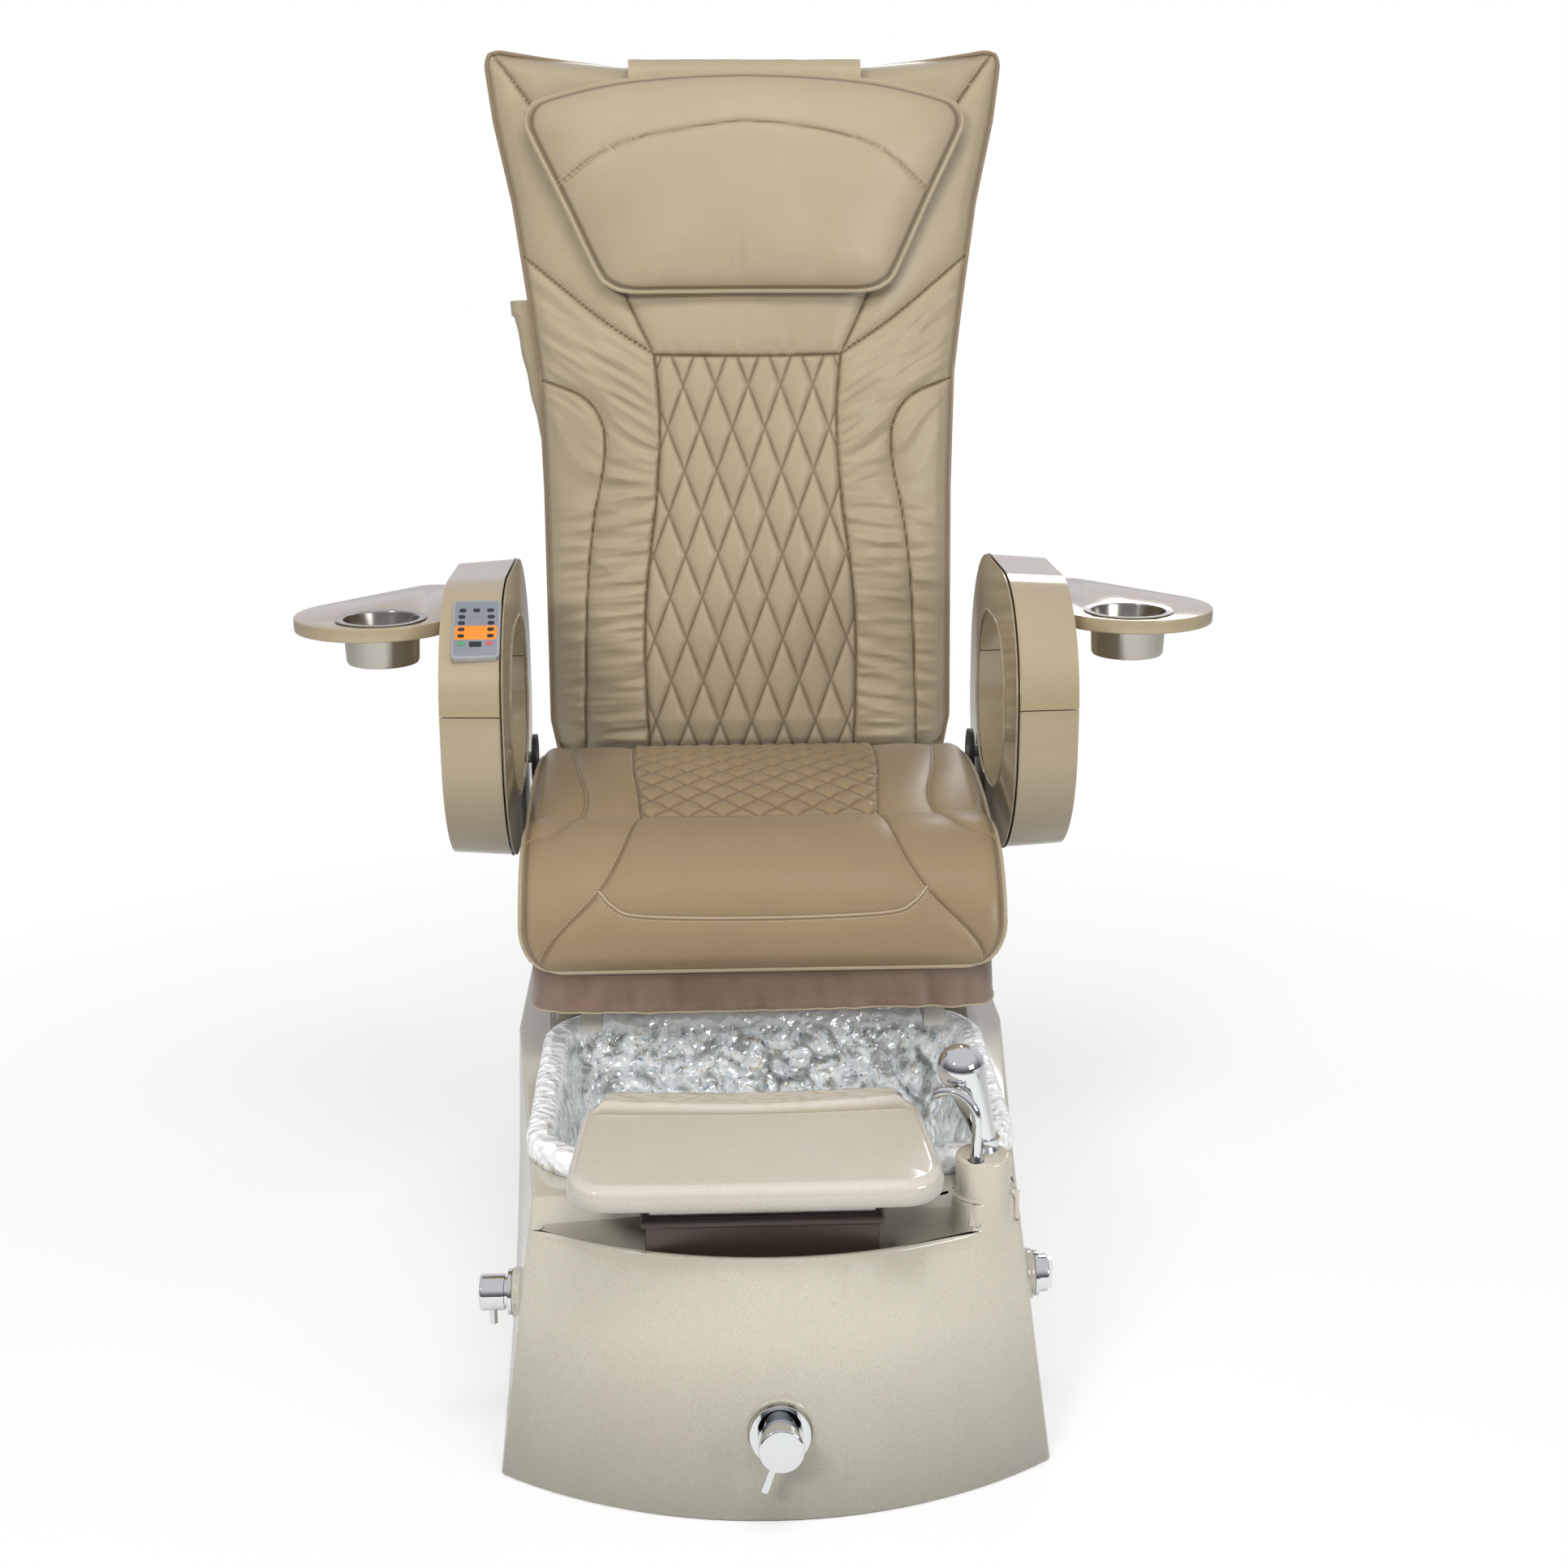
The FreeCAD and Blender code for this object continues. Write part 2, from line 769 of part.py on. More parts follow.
def spout():
    foot = V(spout_x, spout_y, pedestal_top)
    stem = rod(foot - V(0, 0, spout_depth - 3), spout_stem_r, spout_depth + ferrule_height)
    low = foot + V(0, 0, ferrule_height + soft_gap)
    turn = math.radians(spout_aim)
    aim = V(math.cos(turn), math.sin(turn), 0)
    top = low + V(0, 0, spout_rise)
    centre = top + aim * spout_bend
    sweep = math.radians(130)
    half = sweep / 2
    mid = centre - aim * spout_bend * math.cos(half) + V(0, 0, spout_bend * math.sin(half))
    end = centre - aim * spout_bend * math.cos(sweep) + V(0, 0, spout_bend * math.sin(sweep))
    path = Part.Wire([line(low, top), arc(top, mid, end)])
    ring = Part.Wire([Part.makeCircle(spout_r, low, Z_AXIS)])
    tube = path.makePipeShell([ring], True, False)
    return join(stem, rod(low - V(0, 0, 0.1), spout_r, 2), tube)


# Valves

def mixer_body(seat, out, plate_r, plate, neck, tail_r):
    disc = rod(seat, plate_r, plate, out)
    stalk = rod(seat, valve_neck_r, plate + neck, out)
    tail = rod(seat - out * valve_tail, tail_r, valve_tail, out)
    spindle = rod(seat, spindle_r, plate + neck + spindle_length, out)
    return join(disc, stalk, tail, spindle)


def mixer_knob(seat, out, start, radius, depth, reach, down):
    low = seat + out * (start + soft_gap)
    cap = rod(low, radius, depth, out)
    edges = [edge for edge in cap.Edges if edge.CenterOfMass.sub(low).dot(out) > depth - 1]
    cap = cap.makeFillet(2.5, edges)
    lever = rod(low + out * depth * 0.5, lever_r, reach, down)
    bore = rod(seat, spindle_r + shaft_fit, start + spindle_length + 1, out)
    return carve(join(cap, lever), bore)


def front_seat():
    return valve_seat() + valve_direction() * valve_boss


def front_mixer_body():
    return mixer_body(front_seat(), valve_direction(), escutcheon_r, escutcheon_thick, valve_neck,
                      valve_tail_r)


def front_mixer_knob():
    turn = math.radians(front_lever_turn)
    out = valve_direction()
    down = V(-math.sin(turn), 0, -math.cos(turn))
    down = down - out * down.dot(out)
    return mixer_knob(front_seat(), out, escutcheon_thick + valve_neck, front_knob_r, front_knob_depth,
                      front_lever, down)


def side_seat():
    return V(-side_face, side_valve_y, side_valve_z)


def side_mixer_body():
    return mixer_body(side_seat(), -X_AXIS, side_escutcheon_r, side_escutcheon_thick, side_neck,
                      valve_tail_r)


def side_mixer_knob():
    return mixer_knob(side_seat(), -X_AXIS, side_escutcheon_thick + side_neck, side_knob_r, side_knob_depth,
                      side_lever, -Z_AXIS)


def drain_bezel():
    start = V(side_face, side_valve_y, drain_knob_z)
    ring = rod(start, side_escutcheon_r, side_escutcheon_thick, X_AXIS)
    return carve(ring, rod(start - X_AXIS, drain_shaft_r + shaft_fit, 20, X_AXIS))


def drain_knob():
    face = side_face + side_escutcheon_thick + soft_gap
    cap = rod(V(face, side_valve_y, drain_knob_z), drain_knob_r, drain_knob_depth, X_AXIS)
    cap = cap.makeFillet(2.5, [edge for edge in cap.Edges if edge.BoundBox.XMin > face + 1])
    shaft = rod(V(face - drain_shaft, side_valve_y, drain_knob_z), drain_shaft_r, drain_shaft, X_AXIS)
    grip = block(face, face + drain_knob_depth + 5, side_valve_y - 3, side_valve_y + 3,
                 drain_knob_z - drain_knob_r + 3, drain_knob_z + drain_knob_r - 3)
    return join(cap, shaft, grip)


# Seat slide

def runner_low():
    return deck_height + rail_height + slide_gap


def frame_low():
    return runner_low() + runner_height


def fixed_rail():
    return block(rail_x - rail_width / 2, rail_x + rail_width / 2, rail_front, rail_rear,
                 deck_height, deck_height + rail_height)


def moving_rail():
    return block(rail_x - runner_width / 2, rail_x + runner_width / 2, runner_front, runner_rear,
                 runner_low(), frame_low())


def seat_actuator():
    tube_r = rod_r + easy_fit + tube_wall
    tube = rod(V(rod_x, tube_front, rod_z), tube_r, motor_rear - tube_front - 10, Y_AXIS)
    motor = rod(V(rod_x, motor_front, rod_z), motor_r, motor_rear - motor_front, Y_AXIS)
    stand = block(rod_x - 12, rod_x + 12, motor_front, motor_rear, deck_height, rod_z)
    front_stand = block(rod_x - 6, rod_x + 6, tube_front + 10, tube_front + 30, deck_height, rod_z)
    bore = rod(V(rod_x, tube_front - 5, rod_z), rod_r + easy_fit, motor_rear - tube_front - 15, Y_AXIS)
    return carve(join(tube, motor, stand, front_stand), bore)


def seat_actuator_rod():
    shaft = rod(V(rod_x, rod_lug_y, rod_z), rod_r, rod_rear - rod_lug_y, Y_AXIS)
    lug = block(rod_x - rod_lug / 2, rod_x + rod_lug / 2, rod_lug_y - rod_lug / 2, rod_lug_y + rod_lug / 2,
                rod_z - rod_r - 1, frame_low())
    return join(shaft, lug)


# Seat

def frame_high():
    return frame_low() + frame_height


def board_high():
    return frame_high() + board_thick


def seat_frame():
    low = frame_low()
    high = frame_high()
    side = block(frame_inner, frame_outer, seat_front, frame_rear, low, high)
    crosses = [block(-frame_inner - 1, frame_inner + 1, y, y + cross_depth, low, high)
               for y in (seat_front, rod_lug_y - cross_depth / 2, board_rear - cross_depth)]
    outrigger = block(rail_x + runner_width / 2 + 1, arm_plate_x + arm_plate,
                      outrigger_y - outrigger_depth / 2, outrigger_y + outrigger_depth / 2,
                      low - outrigger_height, low)
    plate = block(arm_plate_x, arm_plate_x + arm_plate, outrigger_y - outrigger_depth / 2,
                  outrigger_y + outrigger_depth / 2, low - outrigger_height, arm_pivot_z)
    crown = rod(V(arm_plate_x, arm_pivot_y, arm_pivot_z), outrigger_depth / 2, arm_plate, X_AXIS)
    ear_x = hinge_lug_x + hinge_plate + 1
    ear = block(ear_x, ear_x + hinge_plate, hinge_y - hinge_lug_r, hinge_y + hinge_lug_r, low, hinge_z)
    ear_top = rod(V(ear_x, hinge_y, hinge_z), hinge_lug_r, hinge_plate, X_AXIS)
    ear = carve(join(ear, ear_top), rod(V(ear_x - 1, hinge_y, hinge_z), hinge_pin_r, 20, X_AXIS))
    pin_way = rod(V(arm_plate_x - 1, arm_pivot_y, arm_pivot_z), arm_pin_r, 20, X_AXIS)
    plate = carve(join(plate, crown), pin_way)
    half = join(side, outrigger, plate, ear)
    return join(half, mirrored(half), *crosses)


def hinge_pin_start():
    return hinge_lug_x - 4


def hinge_pin():
    return rod(V(hinge_pin_start(), hinge_y, hinge_z), hinge_pin_r, 2 * hinge_plate + 9, X_AXIS)


def arm_pin():
    end = arm_inner + arm_hub_length
    return rod(V(arm_plate_x, arm_pivot_y, arm_pivot_z), arm_pin_r, end - arm_plate_x, X_AXIS)


def recline_motor():
    case = rod(V(gear_inner, hinge_y, hinge_z), gear_r, gear_outer - gear_inner, X_AXIS)
    foot = block(gear_outer - gear_foot, gear_outer, hinge_y - gear_r, hinge_y + gear_r,
                 frame_high(), hinge_z)
    shaft_start = V(gear_outer - 1, hinge_y, hinge_z)
    shaft = rod(shaft_start, hinge_pin_r - 2, hinge_pin_start() - shaft_start.x, X_AXIS)
    return join(case, foot, shaft)


def seat_board():
    return prism(rounded(-board_half, board_half, board_front, board_rear, skirt_corner_r,
                         at_height(frame_high())), V(0, 0, board_thick))


def seat_skirt():
    """Valance of the seat cover, open at the rear."""
    low = frame_high() - skirt_drop
    grow = soft_gap + skirt_wall
    outer = prism(rounded(-board_half - grow, board_half + grow, board_front - grow, board_rear + 60,
                          skirt_corner_r + grow, at_height(low)), V(0, 0, board_high() - low))
    inner = prism(rounded(-board_half - soft_gap, board_half + soft_gap, board_front - soft_gap,
                          board_rear + 80, skirt_corner_r, at_height(low - 5)), V(0, 0, 200))
    behind = block(-board_half - 10, board_half + 10, board_rear, board_rear + 100, low - 5,
                   board_high() + 5)
    return carve(outer, inner, behind)


def seat_profile(x, drop, tuck):
    """Side view of the cushion at one x: flat base, soft top and a rolled front."""
    low = board_high() + soft_gap
    rear = board_rear + 2 - tuck
    rear_top = V(x, rear, seat_rear_z - drop)
    knee = V(x, seat_knee_y, seat_knee_z - drop)
    crest = V(x, (rear + seat_knee_y) / 2, seat_mid_z - drop)
    nose = V(x, seat_nose_y + tuck, seat_nose_z - drop * 0.2)
    roll = V(x, seat_nose_y + 32 + tuck, seat_knee_z - 42 - drop)
    chin = V(x, seat_nose_y + 8 + tuck, low)
    heel = V(x, rear, low)
    return Part.Wire([line(chin, heel), line(heel, rear_top), arc(rear_top, crest, knee),
                      arc(knee, roll, nose), line(nose, chin)])


def diagonals(half, low, high, step_across, step_along, sign):
    """Ends of the parallel seams that cross the field |x| < half, low < s < high."""
    slope = sign * step_across / step_along
    count = int((2 * half + (high - low) * abs(slope)) / (2 * step_across)) + 2
    ends = []
    for index in range(-count, count + 1):
        start = index * 2 * step_across
        limits = sorted((low + (x - start) / slope) for x in (-half, half))
        first = max(limits[0], low)
        last = min(limits[1], high)
        if last - first > step_along / 2:
            ends.append([(start + slope * (s - low), s) for s in (first, last)])
    return ends


def quilt(body, lowered, outward, ends, wall):
    """Cuts each seam from the outside down to the lowered surface."""
    for family in ends:
        seams = []
        for a, b in family:
            left = wall(a, b).cut(lowered).Solids
            seams.append(max(left, key=lambda solid: solid.CenterOfMass.dot(outward)))
        body = body.cut(seams)
    return body


def seat_cushion():
    stations = [(-seat_half, seat_edge_drop, 10), (-seat_half + 16, 10, 4), (-230, 3, 1), (0, 0, 0),
                (230, 3, 1), (seat_half - 16, 10, 4), (seat_half, seat_edge_drop, 10)]
    cushion = loft([seat_profile(*station) for station in stations])

    def wall(a, b):
        length = math.hypot(b[0] - a[0], b[1] - a[1])
        slab = block(0, length, -quilt_groove / 2, quilt_groove / 2, seat_knee_z - 60, seat_mid_z + 20)
        slab.rotate(V(0, 0, 0), Z_AXIS, math.degrees(math.atan2(b[1] - a[1], b[0] - a[0])))
        slab.translate(V(a[0], a[1], 0))
        return slab

    step = seat_diamond / 2
    ends = [diagonals(seat_quilt_half, seat_quilt_front, seat_quilt_rear, step, step, sign)
            for sign in (1, -1)]
    lowered = cushion.copy()
    lowered.translate(V(0, 0, -quilt_depth))
    return quilt(cushion, lowered, Z_AXIS, ends, wall)


# Armrests, built on the right side

def arm_ring(x0, x1, inset):
    """Rounded ring, seen from the side, between two x planes."""
    outer = prism(rounded(arm_front + inset, arm_rear - inset, arm_low + inset, arm_high - inset,
                          arm_round - inset, in_profile(x0)), V(x1 - x0, 0, 0))
    eye = prism(rounded(eye_front - inset, eye_rear + inset, eye_low - inset, eye_high + inset,
                        eye_round + inset, in_profile(x0 - 1)), V(x1 - x0 + 2, 0, 0))
    return carve(outer, eye)


def arm_casing():
    skin = arm_inner + arm_wall
    return carve(arm_ring(skin, arm_outer, 0), arm_ring(skin, arm_outer - arm_wall, arm_wall))


def above_split():
    return block(arm_inner - 20, arm_outer + 20, arm_front - 20, arm_rear + 20, arm_split, arm_high + 20)


def below_split():
    return block(arm_inner - 20, arm_outer + 20, arm_front - 20, arm_rear + 20, arm_low - 20, arm_split)


def arm_upper_shell():
    return arm_casing().common(above_split())


def arm_lower_shell():
    skin = arm_inner + arm_wall
    hub = rod(V(skin, arm_pivot_y, arm_pivot_z), arm_hub_r, arm_outer - skin - 1, X_AXIS)
    shell = join(arm_casing().common(below_split()), hub)
    return carve(shell, rod(V(skin - 1, arm_pivot_y, arm_pivot_z), arm_pin_r + shaft_fit,
                            arm_hub_length - arm_wall + 2, X_AXIS))


def arm_inner_ring():
    ring = arm_ring(arm_inner, arm_inner + arm_wall, 0)
    return carve(ring, rod(V(arm_inner - 1, arm_pivot_y, arm_pivot_z), arm_pin_r + shaft_fit, 20, X_AXIS))


def remote_frame(shape):
    """Takes a shape built flat about the origin to its place on the left arm's front curve."""
    shape.rotate(V(0, 0, 0), X_AXIS, remote_angle)
    turn = math.radians(90 + remote_angle)
    reach = arm_round + remote_proud
    shape.translate(V(remote_mid_x, arm_front + arm_round + reach * math.cos(turn),
                      arm_high - arm_round + reach * math.sin(turn)))
    return shape


def remote_block(grow, top, thick):
    half_w = remote_width / 2 + grow
    half_l = remote_length / 2 + grow
    return remote_frame(block(-half_w, half_w, -half_l, half_l, top - thick, top))


def arm_upper_left():
    shell = mirrored(arm_upper_shell())
    ring = mirrored(arm_ring(arm_inner + arm_wall, arm_outer, 0))
    nest = remote_block(4, -4, remote_thick + 3).common(ring)
    return carve(join(shell, nest), remote_block(easy_fit, 10, remote_thick + 10 + easy_fit))


def remote_housing():
    return remote_block(0, 0, remote_thick)


def remote_keys():
    """Membrane keys: rows of small lozenges, three in the first row and two in the rest."""
    keys = []
    for y, count in [(30, 3), (20, 2), (10, 2), (0, 2), (-10, 2), (-22, 3)]:
        pitch = 16 if count == 3 else 24
        for index in range(count):
            x = (index - (count - 1) / 2) * pitch
            wire = rounded(x - key_long / 2, x + key_long / 2, y - key_short / 2, y + key_short / 2,
                           0.45 * key_short, at_height(0))
            keys.append(remote_frame(prism(wire, V(0, 0, key_thick))))
    return keys


# Trays

def tray_low():
    return tray_top - tray_thick


def tray():
    low = tray_low()
    big = rod(V(tray_big_x, tray_big_y, low), tray_big_r, tray_thick)
    small = rod(V(tray_pin_x, tray_pin_y, low), tray_end_r, tray_thick)
    gap = V(tray_pin_x - tray_big_x, tray_pin_y - tray_big_y, 0)
    spread = math.acos((tray_big_r - tray_end_r) / gap.Length)
    base = math.atan2(gap.y, gap.x)
    corners = []
    for centre_x, centre_y, radius, sign in ((tray_big_x, tray_big_y, tray_big_r, 1),
                                             (tray_pin_x, tray_pin_y, tray_end_r, 1),
                                             (tray_pin_x, tray_pin_y, tray_end_r, -1),
                                             (tray_big_x, tray_big_y, tray_big_r, -1)):
        turn = base + sign * spread
        corners.append(V(centre_x + radius * math.cos(turn), centre_y + radius * math.sin(turn), low))
    web = prism(Part.makePolygon(corners + [corners[0]]), V(0, 0, tray_thick))
    inboard = block(tray_edge_x - 80, tray_edge_x, -200, 500, low - 1, tray_top + 1)
    slab = carve(join(big, small, web), inboard)
    well = rod(V(tray_bowl_x, tray_bowl_y, low - 1), tray_bowl_r + easy_fit, tray_thick + 2)
    bore = rod(V(tray_pin_x, tray_pin_y, low - 1), tray_pin_r + shaft_fit, tray_thick - 3)
    return carve(slab, well, bore)


def tray_bracket():
    high = tray_low() - soft_gap
    plate = block(arm_outer, tray_pin_x + tray_plate_half, tray_pin_y - tray_plate_half,
                  tray_pin_y + tray_plate_half, high - tray_plate, high)
    flange = block(arm_outer, arm_outer + tray_flange, tray_pin_y - 24, tray_pin_y + 24, high - 30, high)
    pin = rod(V(tray_pin_x, tray_pin_y, high - 1), tray_pin_r, tray_thick - 4)
    return join(plate, flange, pin)


def tray_bowl():
    rim = tray_bowl_rim
    top = soft_gap + steel_sheet
    floor = -tray_bowl_depth + steel_sheet
    profile = [(0, -tray_bowl_depth), (tray_bowl_foot_r, -tray_bowl_depth), (tray_bowl_r, soft_gap),
               (rim, soft_gap), (rim, top), (tray_bowl_r - steel_sheet, top),
               (tray_bowl_foot_r - steel_sheet, floor), (0, floor)]
    return revolved(profile, V(tray_bowl_x, tray_bowl_y, tray_top))


# Back, built upright about its hinge: x across, y to the rear, z up along the back

def leaned(shape):
    shape.rotate(V(0, 0, 0), X_AXIS, -lean)
    shape.translate(V(0, hinge_y, hinge_z))
    return shape


def back_section(s, half, crown):
    rear_half = half - 4
    right_edge = V(half, edge_front, s)
    left_edge = V(-half, edge_front, s)
    return Part.Wire([
        arc(left_edge, V(0, crown, s), right_edge),
        line(right_edge, V(rear_half, cushion_rear, s)),
        line(V(rear_half, cushion_rear, s), V(-rear_half, cushion_rear, s)),
        line(V(-rear_half, cushion_rear, s), left_edge)])


def top_cutter(rear):
    """Everything above the dipping top edge between the two raised corners."""
    low = top_tip - top_dip
    wide = tip_half + 30
    rise = top_dip * (wide / tip_half) ** 2
    face = Part.Face(Part.Wire([
        arc(V(-wide, -200, low + rise), V(0, -200, low), V(wide, -200, low + rise)),
        line(V(wide, -200, low + rise), V(wide, -200, low + 300)),
        line(V(wide, -200, low + 300), V(-wide, -200, low + 300)),
        line(V(-wide, -200, low + 300), V(-wide, -200, low + rise))]))
    return face.extrude(V(0, 200 + rear, 0))


def back_cushion():
    body = loft([back_section(*station) for station in back_stations])
    body = carve(body, top_cutter(20))

    def wall(a, b):
        length = math.hypot(b[0] - a[0], b[1] - a[1])
        slab = block(0, length, -110, -40, -quilt_groove / 2, quilt_groove / 2)
        slab.rotate(V(0, 0, 0), Y_AXIS, -math.degrees(math.atan2(b[1] - a[1], b[0] - a[0])))
        slab.translate(V(a[0], 0, a[1]))
        return slab

    ends = [diagonals(back_quilt_half, back_quilt_low, back_quilt_high,
                      back_diamond_half, back_diamond_rise, sign)
            for sign in (1, -1)]
    lowered = body.copy()
    lowered.translate(V(0, quilt_depth, 0))
    return leaned(quilt(body, lowered, -Y_AXIS, ends, wall))


def shell_outline(s, half, front, rear):
    rear_half = half - shell_taper
    return Part.makePolygon([V(-half, front, s), V(half, front, s), V(rear_half, rear, s),
                             V(-rear_half, rear, s), V(-half, front, s)])


def back_shell():
    """Rear cover: an open-fronted box that holds the massage gear."""
    outer = loft([shell_outline(s, half, shell_front, shell_rear) for s, half in shell_stations], True)
    low = shell_stations[0]
    high = shell_stations[-1]
    inner_stations = [(low[0] + shell_wall, low[1])] + shell_stations[1:-1] + [(high[0] - 45, high[1] - 5)]
    inner = loft([shell_outline(s, half - shell_wall, shell_front - 1, shell_rear - shell_wall)
                  for s, half in inner_stations], True)
    posts = [block(side * hinge_lug_x - 22, side * hinge_lug_x + 14, -10, post_front + post_width + 6,
                   80, 110)
             for side in (-1, 1)]
    return leaned(carve(outer, inner, top_cutter(80), *posts))


def back_frame():
    inner = hinge_lug_x + hinge_plate - post_width
    post = block(inner, hinge_lug_x + hinge_plate, post_front, post_front + post_width, post_low, post_high)
    lug = rod(V(hinge_lug_x, 0, 0), hinge_lug_r, hinge_plate, X_AXIS)
    web = block(hinge_lug_x, hinge_lug_x + hinge_plate, -hinge_lug_r, hinge_lug_r, 0, 60)
    lug = carve(join(lug, web), rod(V(hinge_lug_x - 1, 0, 0), hinge_pin_r + shaft_fit, 20, X_AXIS))
    side = join(post, lug)
    rungs = [block(-inner - 1, inner + 1, post_front, post_front + 36, s, s + 20)
             for s in (rung_low, rung_high)]
    return leaned(join(side, mirrored(side), *rungs))


def massage_rail():
    return rod(V(guide_x, guide_w, rung_low + 20), guide_r, rung_high - rung_low - 20)


def massage_carriage():
    bar = block(-carriage_half, carriage_half, carriage_front, carriage_front + carriage_depth,
                carriage_low, carriage_low + carriage_height)
    ear = block(lug_in, lug_out, 8, carriage_front + carriage_depth, carriage_low + carriage_height - 5,
                carriage_low + roller_rise + 14)
    bores = both_sides(rod(V(guide_x, guide_w, carriage_low - 5), guide_r + shaft_fit, 60))
    axle_way = rod(V(-100, roller_w, carriage_low + roller_rise), axle_r + shaft_fit, 200, X_AXIS)
    return leaned(carve(join(bar, *both_sides(ear)), axle_way, *bores))


def massage_rollers():
    s = carriage_low + roller_rise
    axle = rod(V(-axle_half, roller_w, s), axle_r, 2 * axle_half, X_AXIS)
    roller = rod(V(roller_in, roller_w, s), roller_r, roller_out - roller_in, X_AXIS)
    roller = roller.makeFillet(6, [e for e in roller.Edges if len(e.Vertexes) == 1])
    return leaned(join(axle, *both_sides(roller)))


def pillow_outline(w, scale):
    middle = (pillow_low + pillow_high) / 2

    def spot(x, s):
        return V(x * scale, w, middle + (s - middle) * scale)

    low_corner = spot(pillow_half_low + 32, pillow_low + 26)
    cheek = spot(pillow_half, pillow_shoulder - 6)
    brow = spot(pillow_half - 3, pillow_shoulder + 20)
    marks = [(spot(-pillow_half_low, pillow_low), None, spot(pillow_half_low, pillow_low)),
             (spot(pillow_half_low, pillow_low), spot(pillow_half_low + 19, pillow_low + 8), low_corner),
             (low_corner, None, cheek),
             (cheek, spot(pillow_half + 2, pillow_shoulder + 8), brow)]
    edges = []
    for start, middle_point, end in marks:
        edges.append(line(start, end) if middle_point is None else arc(start, middle_point, end))
    edges.append(arc(brow, spot(0, pillow_high + 8), V(-brow.x, brow.y, brow.z)))
    for start, middle_point, end in reversed(marks[1:]):
        start = V(-start.x, start.y, start.z)
        end = V(-end.x, end.y, end.z)
        if middle_point is None:
            edges.append(line(end, start))
        else:
            edges.append(arc(end, V(-middle_point.x, middle_point.y, middle_point.z), start))
    return Part.Wire(edges)


def headrest_pillow():
    depth = pillow_rear - pillow_front
    stations = [(pillow_rear, 0.95), (pillow_rear - depth * 0.3, 1.0), (pillow_rear - depth * 0.6, 0.97),
                (pillow_rear - depth * 0.85, 0.88), (pillow_front, 0.7)]
    return leaned(loft([pillow_outline(w, scale) for w, scale in stations]))


def headrest_strap():
    """Band from the pillow over the top of the back and down behind it."""
    top = top_tip - top_dip + 9
    behind = shell_rear + soft_gap
    near = pillow_rear + soft_gap
    outside = [(near + strap_thick, pillow_high - 30), (near, pillow_high - 30),
               (near, pillow_high + 10), (-50, top + strap_thick + 2),
               (behind + strap_thick, top + strap_thick + 2),
               (behind + strap_thick, top - 90), (behind, top - 90), (behind, top + 2), (-49, top + 2),
               (near + strap_thick, pillow_high + 8)]
    points = [V(-strap_half, w, s) for w, s in outside]
    face = Part.Face(Part.makePolygon(points + [points[0]]))
    return leaned(face.extrude(V(2 * strap_half, 0, 0)))


def shell_half(s):
    (s0, h0), (s1, h1) = shell_stations[1], shell_stations[2]
    return h0 + (h1 - h0) * (s - s0) / (s1 - s0)


def side_pocket():
    """Leather pouch for the remote on the left flank of the rear cover."""

    def flank(s, w):
        return -shell_half(s) + shell_taper * (w - shell_front) / (shell_rear - shell_front) - soft_gap

    def ring(s, bulge, wall):
        front = pocket_front + wall
        rear = pocket_rear - wall
        near_front = flank(s, front) - wall
        near_rear = flank(s, rear) - wall
        far = flank(s, front) - bulge + wall
        return Part.makePolygon([V(near_front, front, s), V(far, front, s), V(far, rear, s),
                                 V(near_rear, rear, s), V(near_front, front, s)])

    outer = loft([ring(pocket_low, pocket_bulge_low, 0), ring(pocket_high, pocket_bulge_high, 0)], True)
    inner = loft([ring(pocket_low + 6, pocket_bulge_low + 1, pocket_wall),
                  ring(pocket_high + 6, pocket_bulge_high, pocket_wall)], True)
    return leaned(carve(outer, inner))


os.makedirs("parts", exist_ok=True)

save("base_shell", base_shell())
save("base_pan", base_pan())
save("rear_hatch", rear_hatch())
save("hatch_screws", *[hatch_screw(x, z) for x, z in hatch_screws()])
save("tub_bowl", tub_bowl())
save("drain_flange", drain_flange())
save("drain_stopper", drain_stopper())
save("drain_pipe", drain_pipe())
save("water_inlets", *[water_inlet(z) for z in inlet_heights()])
save("power_inlet", power_inlet())
save("control_box", control_box())
save("jet_cover", jet_cover())
save("jet_pump", jet_pump())
save("jet_impeller", jet_impeller())
save("footrest_socket", footrest_socket())
save("footrest_column", footrest_column())
save("footrest_pad", footrest_pad())
save("faucet_ferrules",
     ferrule(spray_x, spray_y, spray_ferrule_r, spray_stem_r, ferrule_height),
     ferrule(spout_x, spout_y, spout_ferrule_r, spout_stem_r, ferrule_height))
save("hand_shower", hand_shower())
save("spout", spout())
save("front_mixer_body", front_mixer_body())
save("front_mixer_knob", front_mixer_knob())
save("side_mixer_body", side_mixer_body())
save("side_mixer_knob", side_mixer_knob())
save("drain_knob_bezel", drain_bezel())
save("drain_knob", drain_knob())
save("fixed_rails", *both_sides(fixed_rail()))
save("moving_rails", *both_sides(moving_rail()))
save("seat_actuator", seat_actuator())
save("seat_actuator_rod", seat_actuator_rod())
save("seat_frame", seat_frame())
save("back_hinge_pins", *both_sides(hinge_pin()))
save("arm_pivot_pins", *both_sides(arm_pin()))
save("recline_motor", recline_motor())
save("seat_board", seat_board())
save("seat_skirt", seat_skirt())
save("seat_cushion", seat_cushion())
save("arm_upper_shell_right", arm_upper_shell())
save("arm_upper_shell_left", arm_upper_left())
save("remote_housing", remote_housing())
save("remote_keys", *remote_keys())
